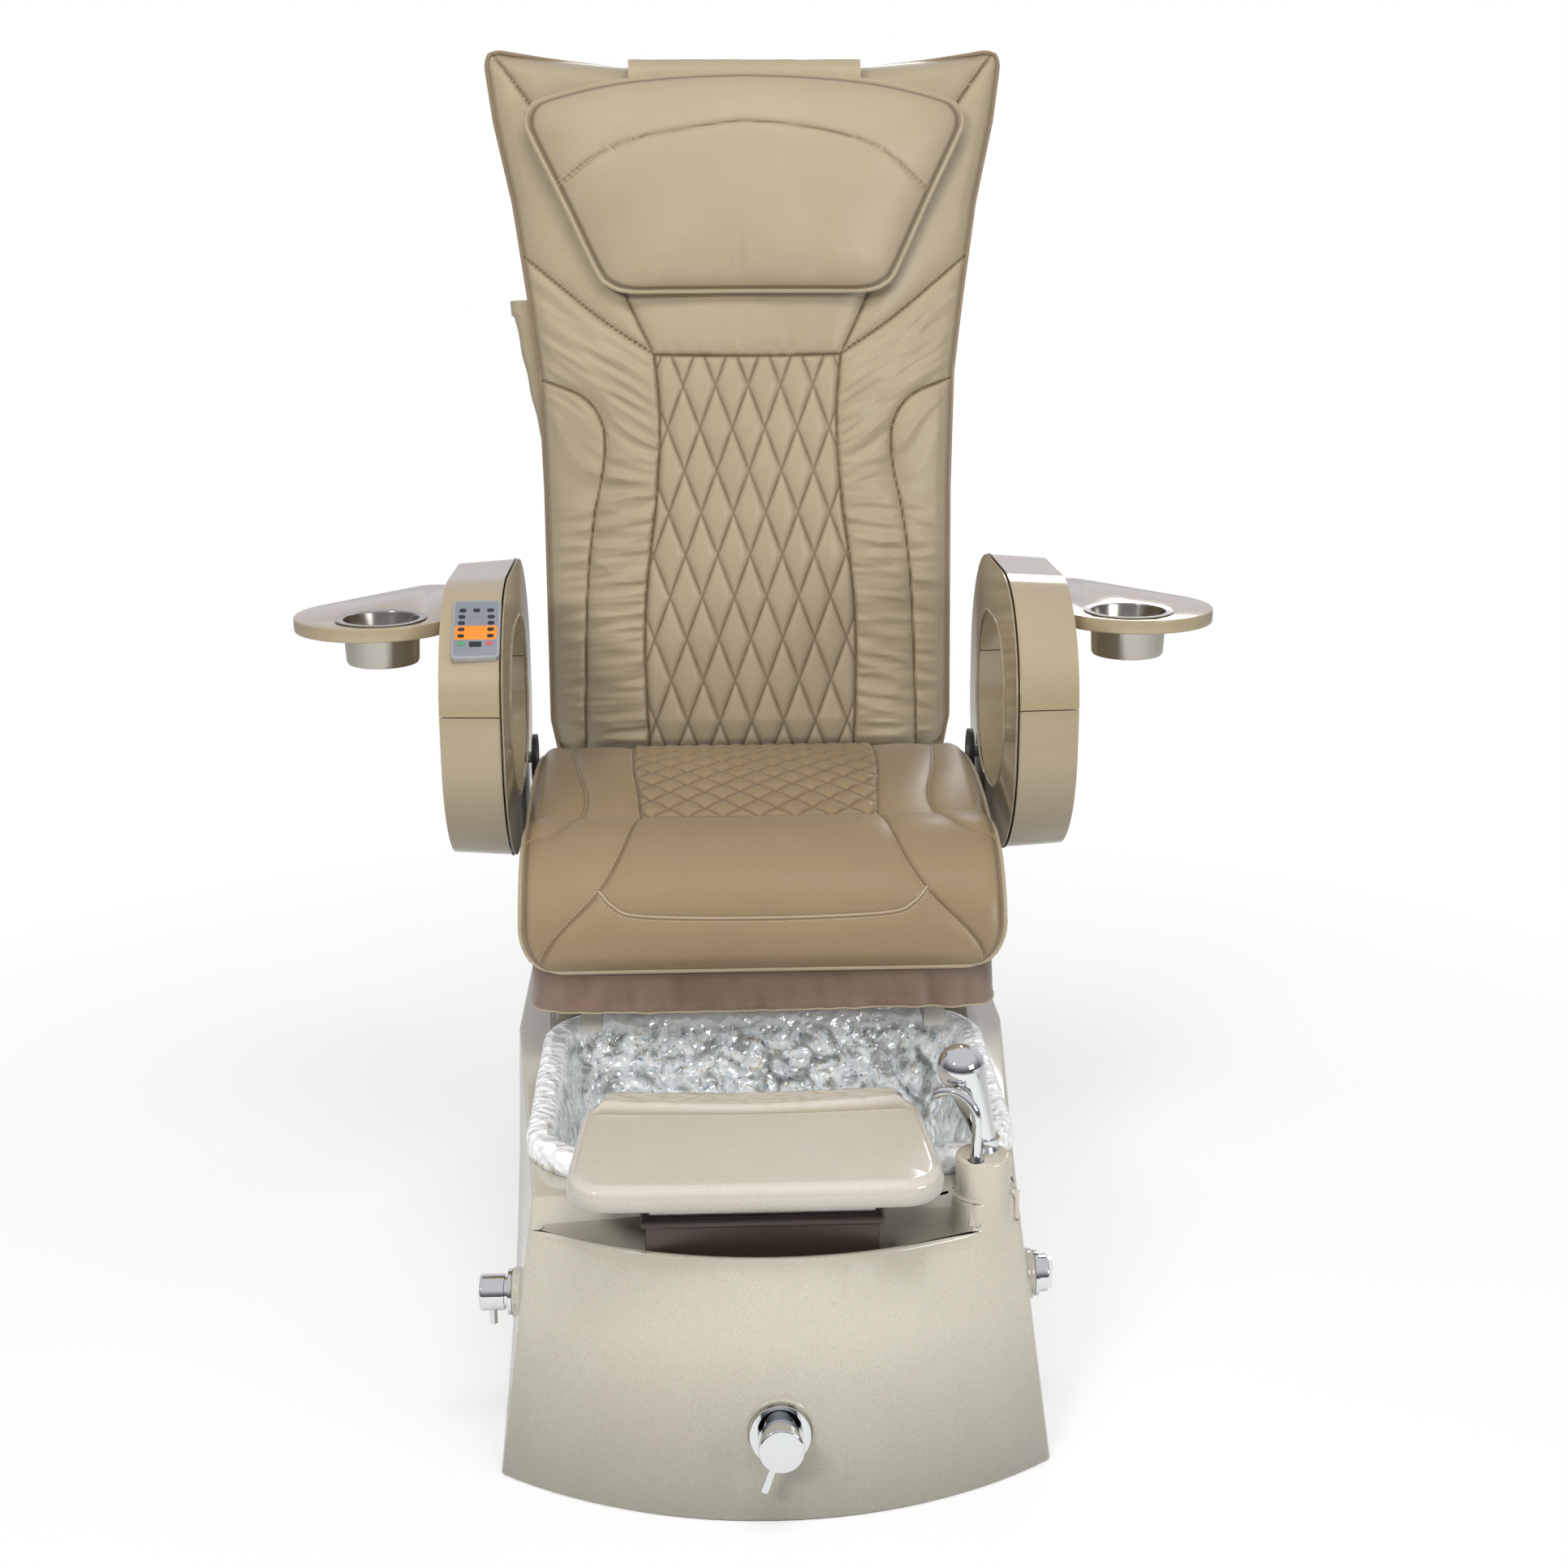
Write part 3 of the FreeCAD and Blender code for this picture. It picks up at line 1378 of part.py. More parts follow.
for side_name, place_side in (("right", lambda shape: shape), ("left", mirrored)):
    save("arm_lower_shell_" + side_name, place_side(arm_lower_shell()))
    save("arm_inner_ring_" + side_name, place_side(arm_inner_ring()))
    save("tray_bracket_" + side_name, place_side(tray_bracket()))
    save("tray_" + side_name, place_side(tray()))
    save("tray_bowl_" + side_name, place_side(tray_bowl()))
save("back_frame", back_frame())
save("back_shell", back_shell())
save("back_cushion", back_cushion())
save("massage_rails", *[leaned(rail) for rail in both_sides(massage_rail())])
save("massage_carriage", massage_carriage())
save("massage_rollers", massage_rollers())
save("headrest_pillow", headrest_pillow())
save("headrest_strap", headrest_strap())
save("side_pocket", side_pocket())
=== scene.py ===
"""Pedicure spa chair: the looks of the packed model, laid out as a Blender add-on.

Lengths in the tables are millimetres in the frame of the packed model, and meshes are made in
metres. The back is described upright: x across, w towards the rear and s up along it.
"""
import math

import bmesh
import bpy
import numpy as np
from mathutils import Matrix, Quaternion, Vector, noise


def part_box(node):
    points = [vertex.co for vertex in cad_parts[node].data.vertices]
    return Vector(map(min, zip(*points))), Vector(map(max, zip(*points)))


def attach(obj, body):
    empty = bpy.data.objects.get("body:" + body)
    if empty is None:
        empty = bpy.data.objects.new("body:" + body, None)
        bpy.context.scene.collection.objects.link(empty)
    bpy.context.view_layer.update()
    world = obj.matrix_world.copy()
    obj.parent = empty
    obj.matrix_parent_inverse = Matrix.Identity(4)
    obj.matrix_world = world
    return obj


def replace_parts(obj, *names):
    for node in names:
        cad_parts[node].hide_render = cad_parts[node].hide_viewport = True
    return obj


bl_info = {
    "name": "Pedicure Spa Chair",
    "version": (1, 0, 0),
    "blender": (4, 5, 0),
    "location": "3D View > Sidebar > Spa Chair",
    "description": "Upholstery, mouldings, chrome and crystal bath of a pedicure spa chair",
    "category": "Object",
}

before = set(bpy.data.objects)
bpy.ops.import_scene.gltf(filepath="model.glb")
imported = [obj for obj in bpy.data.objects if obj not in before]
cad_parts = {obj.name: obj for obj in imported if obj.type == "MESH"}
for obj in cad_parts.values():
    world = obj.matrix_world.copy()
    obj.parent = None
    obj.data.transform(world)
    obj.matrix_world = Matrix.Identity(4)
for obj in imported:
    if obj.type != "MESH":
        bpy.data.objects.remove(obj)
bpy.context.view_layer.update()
finishes = {}


def linear(hex_text):
    """An sRGB hex colour as the linear values that shaders take."""
    parts = [int(hex_text[i:i + 2], 16) / 255 for i in (1, 3, 5)]
    return tuple(c / 12.92 if c <= 0.04045 else ((c + 0.055) / 1.055) ** 2.4 for c in parts) + (1.0,)


# Sizes of the back, from the packed model
HINGE = (430.0, 470.0)
LEAN = math.radians(9.2)
BACK_LOW = 82.0
BACK_EDGE = -14.0
BACK_REAR = -4.3
TOP_LOW = 1002.0
TOP_DIP = 33.0
TIP_HALF = 348.0
BACK_CORNER = 26.0
BACK_HALF = ((82, 264), (135, 275), (300, 276), (450, 277), (606, 282), (704, 294), (833, 312),
             (940, 335), (1045, 349))
BACK_CROWN = ((82, -58), (135, -72), (300, -74), (450, -74), (606, -73), (704, -70), (833, -68),
              (940, -64), (1045, -48))

# Seams of the back on the viewer's right as (x, s), and the same ones mirrored
QUILT_EDGE = ((139, 70), (143, 187), (143, 266), (137, 342), (124, 446), (119, 547), (125, 626))
BOLSTER_SEAM = ((228, 70), (228, 113), (222, 300), (211, 405), (196, 482), (196, 533), (222, 572),
                (280, 598))
WING_SEAM = ((126, 627), (200, 678), (300, 762))
NECK_SEAM = ((126, 627), (163, 709), (170, 760))
CORNER_SEAM = ((276, 940), (290, 965), (334, 1026))
QUILT_TOP = ((-125, 626), (0, 624), (125, 626))
DIAMOND_HALF = 21.8
DIAMOND_RISE = 56.6
DIAMOND_START = 132.4
# Width in millimetres of the painted shade along the quilting seams
SEAM_SHADE_WIDTH = 1.7

# Seams of the seat as (x, distance along the cushion from its rear top edge)
SEAT_HALF = 284.0
SEAT_LOW = 432.9
SEAT_QUILT_EDGE = ((161, 0), (156, 160), (149, 240), (144, 310))
SEAT_QUILT_FRONT = ((-144, 312), (0, 312), (144, 312))
SEAT_FRONT_SEAM = ((144, 310), (164, 405), (190, 461), (230, 505), (270, 546))
SEAT_CROSS_SEAM = ((-191, 461), (-174, 480), (-140, 492), (0, 496), (140, 492), (174, 480), (191, 461))
SEAT_SIDE_SEAM = ((243, 0), (226, 165), (213, 250), (213, 290), (223, 326), (247, 371), (280, 381))
SEAT_DIAMOND = 22.0
SEAT_ROLL = 22.0

# Outline and opening of the armrests as front, rear, low, high and corner radius; their sides, the
# sides of the trim ring, and the height of the seam between the two halves
ARM_OUTER = (-47.0, 370.0, 520.0, 865.0, 150.0)
ARM_EYE = (55.0, 300.0, 585.0, 795.0, 95.0)
ARM_SIDES = (299.3, 371.0)
ARM_TRIM = (295.2, 298.9)
ARM_SPLIT = 725.0

# Middle of the arc that the remote stands on, and its radius
REMOTE_MIDDLE = (-328.0, ARM_OUTER[0] + ARM_OUTER[4], ARM_OUTER[3] - ARM_OUTER[4])
REMOTE_REACH = 151.0


# User settings

class SpaChairSizes(bpy.types.PropertyGroup):
    puff: bpy.props.FloatProperty(
        name="Puff", description="Height of the upholstery between its seams",
        default=0.0075, min=0, max=0.02, unit="LENGTH")
    seam_depth: bpy.props.FloatProperty(
        name="Seam depth", description="How far a sewn seam pulls the leatherette in",
        default=0.0028, min=0, max=0.01, unit="LENGTH")
    seam_width: bpy.props.FloatProperty(
        name="Seam width", description="Half width of the crease along a seam",
        default=0.0026, min=0.0005, max=0.01, unit="LENGTH")
    fold: bpy.props.FloatProperty(
        name="Fold height", description="Height of the gathered folds beside the quilting",
        default=0.0044, min=0, max=0.01, unit="LENGTH")
    welt: bpy.props.FloatProperty(
        name="Welt radius", description="Radius of the piping",
        default=0.0026, min=0.001, max=0.006, unit="LENGTH")
    stitch_pitch: bpy.props.FloatProperty(
        name="Stitch pitch", description="Distance from one stitch to the next",
        default=0.0046, min=0.002, max=0.02, unit="LENGTH")
    edge_round: bpy.props.FloatProperty(
        name="Moulding edge", description="Radius of the edges of the gelcoat mouldings",
        default=0.004, min=0.001, max=0.02, unit="LENGTH")


def colour_property(label, hex_text):
    return bpy.props.FloatVectorProperty(
        name=label, description="Colour of the " + label.lower(), subtype="COLOR", size=4,
        min=0, max=1, default=linear(hex_text))


class SpaChairColours(bpy.types.PropertyGroup):
    back_leather: colour_property("Back leatherette", "#A4967C")
    # Painted shade: the seat is the same leatherette as the back, with a darker, browner copy of its colour
    # for how the light falls on the seat.
    seat_leather_shaded: colour_property("Seat leatherette", "#8A7759")
    welt: colour_property("Welt", "#85735A")
    thread: colour_property("Thread", "#C2B48F")
    gelcoat: colour_property("Base gelcoat", "#BAB5A6")
    arm_gelcoat: colour_property("Armrest gelcoat", "#A39478")
    valance: colour_property("Valance leatherette", "#7C675A")
    footrest: colour_property("Footrest gelcoat", "#C2BCB0")
    crystal: colour_property("Crystal acrylic", "#E6ECEE")


# Nodes and finishes

def add(tree, kind, links=None, stops=None, **settings):
    """Adds a node; links maps an input to a value or to the socket that feeds it."""
    made = tree.nodes.new(kind)
    for key, value in settings.items():
        setattr(made, key, value)
    for key, value in (links or {}).items():
        if isinstance(value, bpy.types.NodeSocket):
            tree.links.new(value, made.inputs[key])
        else:
            made.inputs[key].default_value = value
    if stops:
        while len(made.color_ramp.elements) < len(stops):
            made.color_ramp.elements.new(0.5)
        for element, (position, colour) in zip(made.color_ramp.elements, stops):
            element.position = position
            element.color = colour
    return made


def finish(name, values):
    """A new material with these values on its shader."""
    material = bpy.data.materials.new(name)
    material.use_nodes = True
    tree = material.node_tree
    shader = tree.nodes["Principled BSDF"]
    for key, value in values.items():
        shader.inputs[key].default_value = value
    place = add(tree, "ShaderNodeTexCoord").outputs["Object"]
    return material, tree, shader, place


def shade(colour, factor):
    return tuple(min(1.0, c * factor) for c in colour[:3]) + (1.0,)


def per_metre(millimetres):
    """Texture scale whose cells are about this many millimetres."""
    return 1000.0 / millimetres


def crease_shade_and_wear(tree, colour, dark):
    """The colour, darkened where the piece's seam attribute says so."""
    seam = add(tree, "ShaderNodeAttribute", attribute_name="seam")
    return add(tree, "ShaderNodeMix", {"Factor": seam.outputs["Fac"], 6: colour, 7: dark},
               data_type="RGBA").outputs[2]


def leatherette(name, colour):
    """Embossed polyurethane leatherette: pebble grain under a pearly coat that spreads highlights."""
    material, tree, shader, place = finish(name, {
        "Roughness": 0.42, "IOR": 1.5, "Coat Weight": 0.25, "Coat Roughness": 0.34,
        "Sheen Weight": 0.12, "Sheen Roughness": 0.45})
    cloud = add(tree, "ShaderNodeTexNoise", {"Vector": place, "Scale": per_metre(140), "Detail": 5.0})
    tone = add(tree, "ShaderNodeValToRGB", {"Fac": cloud.outputs["Fac"]},
               [(0.3, shade(colour, 0.9)), (0.7, shade(colour, 1.08))])
    # Pebbles of 1.7 mm in clusters of 4.5 mm, a little coarser than the real emboss
    pebble = add(tree, "ShaderNodeTexVoronoi", {"Vector": place, "Scale": per_metre(1.7)})
    cluster = add(tree, "ShaderNodeTexNoise", {"Vector": place, "Scale": per_metre(4.5), "Detail": 3.0})
    pores = add(tree, "ShaderNodeMix", {"Factor": pebble.outputs["Distance"], 6: shade(colour, 0.93),
                                        7: tone.outputs["Color"]}, data_type="RGBA")
    # Painted shade: the seam attribute darkens the leatherette towards this dark brown in its creases and
    # beside its welts.
    tree.links.new(crease_shade_and_wear(tree, pores.outputs[2], linear("#57452E")), shader.inputs["Base Color"])
    grain = add(tree, "ShaderNodeMath", {0: pebble.outputs["Distance"], 1: cluster.outputs["Fac"]},
                operation="ADD")
    bump = add(tree, "ShaderNodeBump", {"Height": grain.outputs[0], "Strength": 0.28, "Distance": 0.0004})
    tree.links.new(bump.outputs["Normal"], shader.inputs["Normal"])
    gloss = add(tree, "ShaderNodeMapRange", {"Value": cloud.outputs["Fac"], "To Min": 0.36, "To Max": 0.47})
    tree.links.new(gloss.outputs[0], shader.inputs["Roughness"])
    return material


def gelcoat(name, colour, flake, roughness, low, high, foot):
    """Sprayed polyester gelcoat over glass fibre: wet gloss with fine metallic flake.

    Its lowest part is a foot times as bright, between the heights low and high in metres.
    """
    material, tree, shader, place = finish(name, {
        "Roughness": roughness, "IOR": 1.52, "Coat Weight": 0.6, "Coat Roughness": 0.05})
    speck = add(tree, "ShaderNodeTexNoise", {"Vector": place, "Scale": per_metre(1.5), "Detail": 3.0})
    haze = add(tree, "ShaderNodeTexNoise", {"Vector": place, "Scale": per_metre(220), "Detail": 3.0})
    light = add(tree, "ShaderNodeValToRGB", {"Fac": speck.outputs["Fac"]},
                [(0.32, shade(colour, 1 - flake)), (0.68, shade(colour, 1 + flake))])
    dull = add(tree, "ShaderNodeValToRGB", {"Fac": haze.outputs["Fac"]},
               [(0.3, (0.93, 0.92, 0.9, 1)), (0.7, (1.0, 1.0, 1.0, 1))])
    tone = add(tree, "ShaderNodeMix", {"Factor": 1.0, 6: light.outputs["Color"], 7: dull.outputs["Color"]},
               data_type="RGBA", blend_type="MULTIPLY")
    # Painted shade: darker towards the bottom of the piece, by its height.
    height = add(tree, "ShaderNodeSeparateXYZ", {0: place})
    painted_height_shade = add(tree, "ShaderNodeMapRange", {"Value": height.outputs[2], "From Min": low, "From Max": high,
                                           "To Min": foot, "To Max": 1.0})
    painted_shade_tone = add(tree, "ShaderNodeVectorMath", {0: tone.outputs[2], "Scale": painted_height_shade.outputs[0]},
                 operation="SCALE")
    # Towards this brown where the seam attribute says so: the worn lip of the footrest, and painted shade in
    # the groove before it.
    wear_and_groove_shade = crease_shade_and_wear(tree, painted_shade_tone.outputs[0], linear("#8A7A60"))
    tree.links.new(wear_and_groove_shade, shader.inputs["Base Color"])
    # Orange peel of a sprayed mould, in waves of about 14 mm
    peel = add(tree, "ShaderNodeTexNoise", {"Vector": place, "Scale": per_metre(14), "Detail": 1.0})
    bump = add(tree, "ShaderNodeBump", {"Height": peel.outputs["Fac"], "Strength": 0.05, "Distance": 0.001})
    tree.links.new(bump.outputs["Normal"], shader.inputs["Normal"])
    tree.links.new(bump.outputs["Normal"], shader.inputs["Coat Normal"])
    return material


def crystal_acrylic(name, colour):
    """Cast acrylic over crushed foil: hammered and frosty, with gold, violet and blue glints."""
    material, tree, shader, place = finish(name, {
        "Roughness": 0.1, "IOR": 1.49, "Coat Weight": 1.0, "Coat Roughness": 0.02, "Metallic": 0.3})
    swirl = add(tree, "ShaderNodeTexNoise", {"Vector": place, "Scale": per_metre(38), "Detail": 4.0,
                                             "Distortion": 1.8})
    facet = add(tree, "ShaderNodeTexVoronoi", {"Vector": place, "Scale": per_metre(12)})
    glint = add(tree, "ShaderNodeTexNoise", {"Vector": place, "Scale": per_metre(7), "Detail": 2.0,
                                             "Distortion": 1.2})
    depth = add(tree, "ShaderNodeValToRGB", {"Fac": swirl.outputs["Fac"]},
                [(0.3, linear("#7C8183")), (0.42, linear("#B2B4B2")), (0.52, colour), (0.62, (1, 1, 1, 1))])
    spark = add(tree, "ShaderNodeValToRGB", {"Fac": glint.outputs["Fac"]},
                [(0.3, linear("#5F7FA8")), (0.37, linear("#F4F7F8")), (0.6, linear("#FFFFFF")),
                 (0.66, linear("#D2B873")), (0.74, linear("#AE94C2"))])
    tone = add(tree, "ShaderNodeMix", {"Factor": 0.8, 6: depth.outputs["Color"], 7: spark.outputs["Color"]},
               data_type="RGBA", blend_type="MULTIPLY")
    # The thin rim is paler than the walls
    height = add(tree, "ShaderNodeSeparateXYZ", {0: place})
    thin = add(tree, "ShaderNodeMapRange", {"Value": height.outputs[2], "From Min": 0.314, "From Max": 0.328,
                                            "To Min": 0.0, "To Max": 0.85})
    pale = add(tree, "ShaderNodeMix", {"Factor": thin.outputs[0], 6: tone.outputs[2], 7: (1, 1, 1, 1)},
               data_type="RGBA")
    tree.links.new(pale.outputs[2], shader.inputs["Base Color"])
    # Painted glow: the basin gives off a little of its own colour, in place of light that the clear body
    # scatters from behind.
    tree.links.new(pale.outputs[2], shader.inputs["Emission Color"])
    shader.inputs["Emission Strength"].default_value = 0.13
    relief = add(tree, "ShaderNodeMath", {0: swirl.outputs["Fac"], 1: facet.outputs["Distance"]},
                 operation="ADD")
    bump = add(tree, "ShaderNodeBump", {"Height": relief.outputs[0], "Strength": 0.9, "Distance": 0.006})
    tree.links.new(bump.outputs["Normal"], shader.inputs["Normal"])
    return material


def bright_metal(name, colour, roughness, grain=None):
    """Plated or polished metal; grain is the spacing of its brushing in millimetres."""
    material, tree, shader, place = finish(name, {"Metallic": 1.0, "Base Color": colour})
    smear = add(tree, "ShaderNodeTexNoise", {"Vector": place, "Scale": per_metre(30), "Detail": 3.0})
    if grain:
        lines = add(tree, "ShaderNodeMapping", {"Vector": place, "Scale": (0.04, 0.04, 1.0)})
        brushed = add(tree, "ShaderNodeTexNoise", {"Vector": lines.outputs[0], "Scale": per_metre(grain)})
        bump = add(tree, "ShaderNodeBump", {"Height": brushed.outputs["Fac"], "Strength": 0.12,
                                            "Distance": 0.0003})
        tree.links.new(bump.outputs["Normal"], shader.inputs["Normal"])
    gloss = add(tree, "ShaderNodeMapRange", {"Value": smear.outputs["Fac"], "To Min": roughness * 0.7,
                                             "To Max": roughness * 1.4})
    tree.links.new(gloss.outputs[0], shader.inputs["Roughness"])
    return material


def plain_finish(name, colour, roughness, grain, strength, metallic=0.0):
    """Moulded plastic, paint or powder coat with a fine surface texture of the given grain."""
    material, tree, shader, place = finish(name, {"Roughness": roughness, "Metallic": metallic})
    texture = add(tree, "ShaderNodeTexNoise", {"Vector": place, "Scale": per_metre(grain), "Detail": 3.0})
    tone = add(tree, "ShaderNodeValToRGB", {"Fac": texture.outputs["Fac"]},
               [(0.3, shade(colour, 0.9)), (0.7, shade(colour, 1.1))])
    tree.links.new(tone.outputs["Color"], shader.inputs["Base Color"])
    bump = add(tree, "ShaderNodeBump", {"Height": texture.outputs["Fac"], "Strength": strength,
                                        "Distance": 0.0003})
    tree.links.new(bump.outputs["Normal"], shader.inputs["Normal"])
    return material


def birch_plywood(name):
    """Birch plywood: pale face veneer with long soft figure."""
    material, tree, shader, place = finish(name, {"Roughness": 0.6})
    stretch = add(tree, "ShaderNodeMapping", {"Vector": place, "Scale": (1.0, 0.08, 1.0)})
    figure = add(tree, "ShaderNodeTexNoise", {"Vector": stretch.outputs[0], "Scale": per_metre(6),
                                              "Detail": 5.0})
    tone = add(tree, "ShaderNodeValToRGB", {"Fac": figure.outputs["Fac"]},
               [(0.35, linear("#A98558")), (0.65, linear("#CDB080"))])
    tree.links.new(tone.outputs["Color"], shader.inputs["Base Color"])
    return material


def make_finishes(colours):
    finishes.update({
        "leather_back": leatherette("pearl_leatherette", tuple(colours.back_leather)),
        # Painted shade: the seat's leatherette is a darker, browner copy of the back's.
        "leather_seat": leatherette("shaded_seat_leatherette", tuple(colours.seat_leather_shaded)),
        "welt": leatherette("welt_leatherette", tuple(colours.welt)),
        "valance": leatherette("valance_leatherette", tuple(colours.valance)),
        "thread": plain_finish("bonded_polyester_thread", tuple(colours.thread), 0.55, 0.8, 0.4),
        # The last three numbers of each gelcoat are its painted shade towards the bottom: the heights low
        # and high in metres, and the brightness at the bottom.
        "gelcoat": gelcoat("flaked_gelcoat", tuple(colours.gelcoat), 0.1, 0.14, 0.0, 0.19, 0.56),
        "arm_gloss": gelcoat("polished_gelcoat", tuple(colours.arm_gelcoat), 0.06, 0.14, 0.5, 0.84, 0.7),
        "gelcoat_pale": gelcoat("footrest_gelcoat", tuple(colours.footrest), 0.07, 0.12, 0.345, 0.369, 0.68),
        "crystal": crystal_acrylic("hammered_crystal_acrylic", tuple(colours.crystal)),
        "chrome": bright_metal("chrome_plate", linear("#DDDFE1"), 0.05),
        "steel": bright_metal("brushed_stainless_steel", linear("#B9B4AC"), 0.22, 0.6),
        "zinc": bright_metal("zinc_plated_steel", linear("#A9ABAC"), 0.32),
        "brass_fitting": bright_metal("machined_brass", linear("#B59A55"), 0.25, 0.8),
        "black_steel": plain_finish("black_powder_coat", linear("#1B1B1C"), 0.45, 0.9, 0.5),
        "dark_plastic": plain_finish("black_moulded_abs", linear("#202123"), 0.4, 1.2, 0.25),
        "brown_plastic": plain_finish("brown_moulded_abs", linear("#40342C"), 0.35, 1.2, 0.2),
        "ivory_steel": plain_finish("ivory_powder_coat", linear("#C9C5BA"), 0.4, 0.9, 0.3),
        "white_plastic": plain_finish("white_pvc", linear("#DCDBD6"), 0.35, 2.0, 0.1),
        "roller_rubber": plain_finish("moulded_rubber", linear("#2A2A2A"), 0.6, 1.5, 0.5),
        "plywood": birch_plywood("birch_plywood"),
        "remote_silver": plain_finish("satin_silver_paint", linear("#B6B9BC"), 0.3, 0.6, 0.1, 0.8),
        "remote_panel": plain_finish("grey_membrane", linear("#777C83"), 0.38, 0.8, 0.15),
        "remote_orange": plain_finish("orange_membrane", linear("#E0812E"), 0.4, 0.8, 0.15),
        "remote_key": plain_finish("black_membrane_key", linear("#23252B"), 0.3, 0.8, 0.1),
        "remote_green": plain_finish("green_membrane_key", linear("#4E8F62"), 0.35, 0.8, 0.1),
        "remote_red": plain_finish("red_membrane_key", linear("#B9585C"), 0.35, 0.8, 0.1),
    })


# Meshes

def build(name, points, faces, material, body, sharp=40.0, seam=None):
    """A piece from points in millimetres, riding on a body; seam darkens its first points."""
    mesh = bpy.data.meshes.new(name)
    mesh.from_pydata((np.asarray(points, float) * 0.001).tolist(), [], faces)
    if seam is not None:
        values = np.zeros(len(points))
        values[:len(seam)] = seam
        mesh.attributes.new("seam", "FLOAT", "POINT").data.foreach_set("value", values)
    return dress(bpy.data.objects.new(name, mesh), material, body, sharp)


def dress(piece, material, body, sharp=40.0):
    """Links a piece, shades it, and sets its finish and the body that it rides on."""
    if piece.name not in bpy.context.scene.collection.objects:
        bpy.context.scene.collection.objects.link(piece)
    mesh = piece.data
    mesh.materials.clear()
    mesh.materials.append(finishes[material])
    mesh.shade_smooth()
    if sharp:
        mesh.set_sharp_from_angle(angle=math.radians(sharp))
    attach(piece, body)
    return piece


def weld(piece):
    """Merges doubles, and turns all faces outwards."""
    work = bmesh.new()
    work.from_mesh(piece.data)
    bmesh.ops.remove_doubles(work, verts=work.verts, dist=1e-6)
    bmesh.ops.recalc_face_normals(work, faces=work.faces)
    work.to_mesh(piece.data)
    work.free()


def grid(rows, columns, loop_rows=False, loop_columns=False, start=0):
    """Quads of a grid of points that is stored row by row."""
    faces = []
    for i in range(rows if loop_rows else rows - 1):
        for j in range(columns if loop_columns else columns - 1):
            i2 = (i + 1) % rows
            j2 = (j + 1) % columns
            faces.append((start + i * columns + j, start + i * columns + j2,
                          start + i2 * columns + j2, start + i2 * columns + j))
    return faces


def through(points, step=6.0):
    """A smooth line through the given points, with points about a step apart."""
    p = np.asarray(points, float)
    p = np.vstack([2 * p[0] - p[1], p, 2 * p[-1] - p[-2]])
    out = []
    for i in range(1, len(p) - 2):
        count = max(2, int(np.linalg.norm(p[i + 1] - p[i]) / step))
        t = np.linspace(0, 1, count, endpoint=False)[:, None]
        out.append(0.5 * (2 * p[i] + (p[i + 1] - p[i - 1]) * t
                          + (2 * p[i - 1] - 5 * p[i] + 4 * p[i + 1] - p[i + 2]) * t ** 2
                          + (3 * p[i] - p[i - 1] - 3 * p[i + 1] + p[i + 2]) * t ** 3))
    return np.vstack(out + [p[-2:-1]])


def flipped(line):
    return np.asarray(line, float) * np.array([-1.0, 1.0])


def both(line):
    smooth = through(line)
    return [smooth, flipped(smooth)]


def seam_distance(points, seams):
    """Distance from each flat point to the nearest seam."""
    nearest = np.full(len(points), 1e6)
    for seam in seams:
        for a, b in zip(seam[:-1], seam[1:]):
            run = b - a
            along = np.clip((points - a) @ run / max(run @ run, 1e-9), 0, 1)
            nearest = np.minimum(nearest, np.hypot(*(points - a - along[:, None] * run).T))
    return nearest


def ripple(a, b, seed):
    """Smooth noise between -1 and 1 at each pair of coordinates."""
    return np.array([noise.noise(Vector((x, y, seed))) for x, y in zip(a, b)])


def step_up(value, low, high):
    t = np.clip((value - low) / (high - low), 0, 1)
    return t * t * (3 - 2 * t)


def quilting(x, s, half, rise, start, height, soft):
    """Height and seam mark of crossed diagonal quilting with flat-topped diamonds."""
    reach = half * rise / math.hypot(half, rise)
    u = x / half + (s - start) / rise
    v = x / half - (s - start) / rise
    near_u = np.abs((u + 1) % 2 - 1) * reach
    near_v = np.abs((v + 1) % 2 - 1) * reach
    puff = height * (1 - np.exp(-near_u / soft)) * (1 - np.exp(-near_v / soft))
    return puff, np.exp(-(np.minimum(near_u, near_v) / SEAM_SHADE_WIDTH) ** 2)


def back_place(points):
    """Points (x, w, s) of the upright back as they lie in the frame of the model."""
    x, w, s = np.asarray(points, float).T
    cos, sin = math.cos(LEAN), math.sin(LEAN)
    return np.column_stack([x, HINGE[0] + w * cos + s * sin, HINGE[1] - w * sin + s * cos])


def tube(name, points, radius, material, body, closed=False):
    """A round cord sewn along the points, in millimetres."""
    curve = bpy.data.curves.new(name, "CURVE")
    curve.dimensions = "3D"
    curve.bevel_depth = radius * 0.001
    curve.bevel_resolution = 2
    curve.use_fill_caps = not closed
    spline = curve.splines.new("POLY")
    spline.points.add(len(points) - 1)
    for point, place in zip(spline.points, points):
        point.co = (*(np.asarray(place) * 0.001), 1)
    spline.use_cyclic_u = closed
    holder = bpy.data.objects.new(name + "_line", curve)
    bpy.context.scene.collection.objects.link(holder)
    graph = bpy.context.evaluated_depsgraph_get()
    mesh = bpy.data.meshes.new_from_object(holder.evaluated_get(graph))
    bpy.data.objects.remove(holder)
    piece = bpy.data.objects.new(name, mesh)
    weld(piece)
    return dress(piece, material, body)


def baked(piece):
    """The piece's evaluated mesh, without its modifiers."""
    graph = bpy.context.evaluated_depsgraph_get()
    mesh = bpy.data.meshes.new_from_object(piece.evaluated_get(graph))
    piece.modifiers.clear()
    piece.data = mesh
    return piece


# Stitches

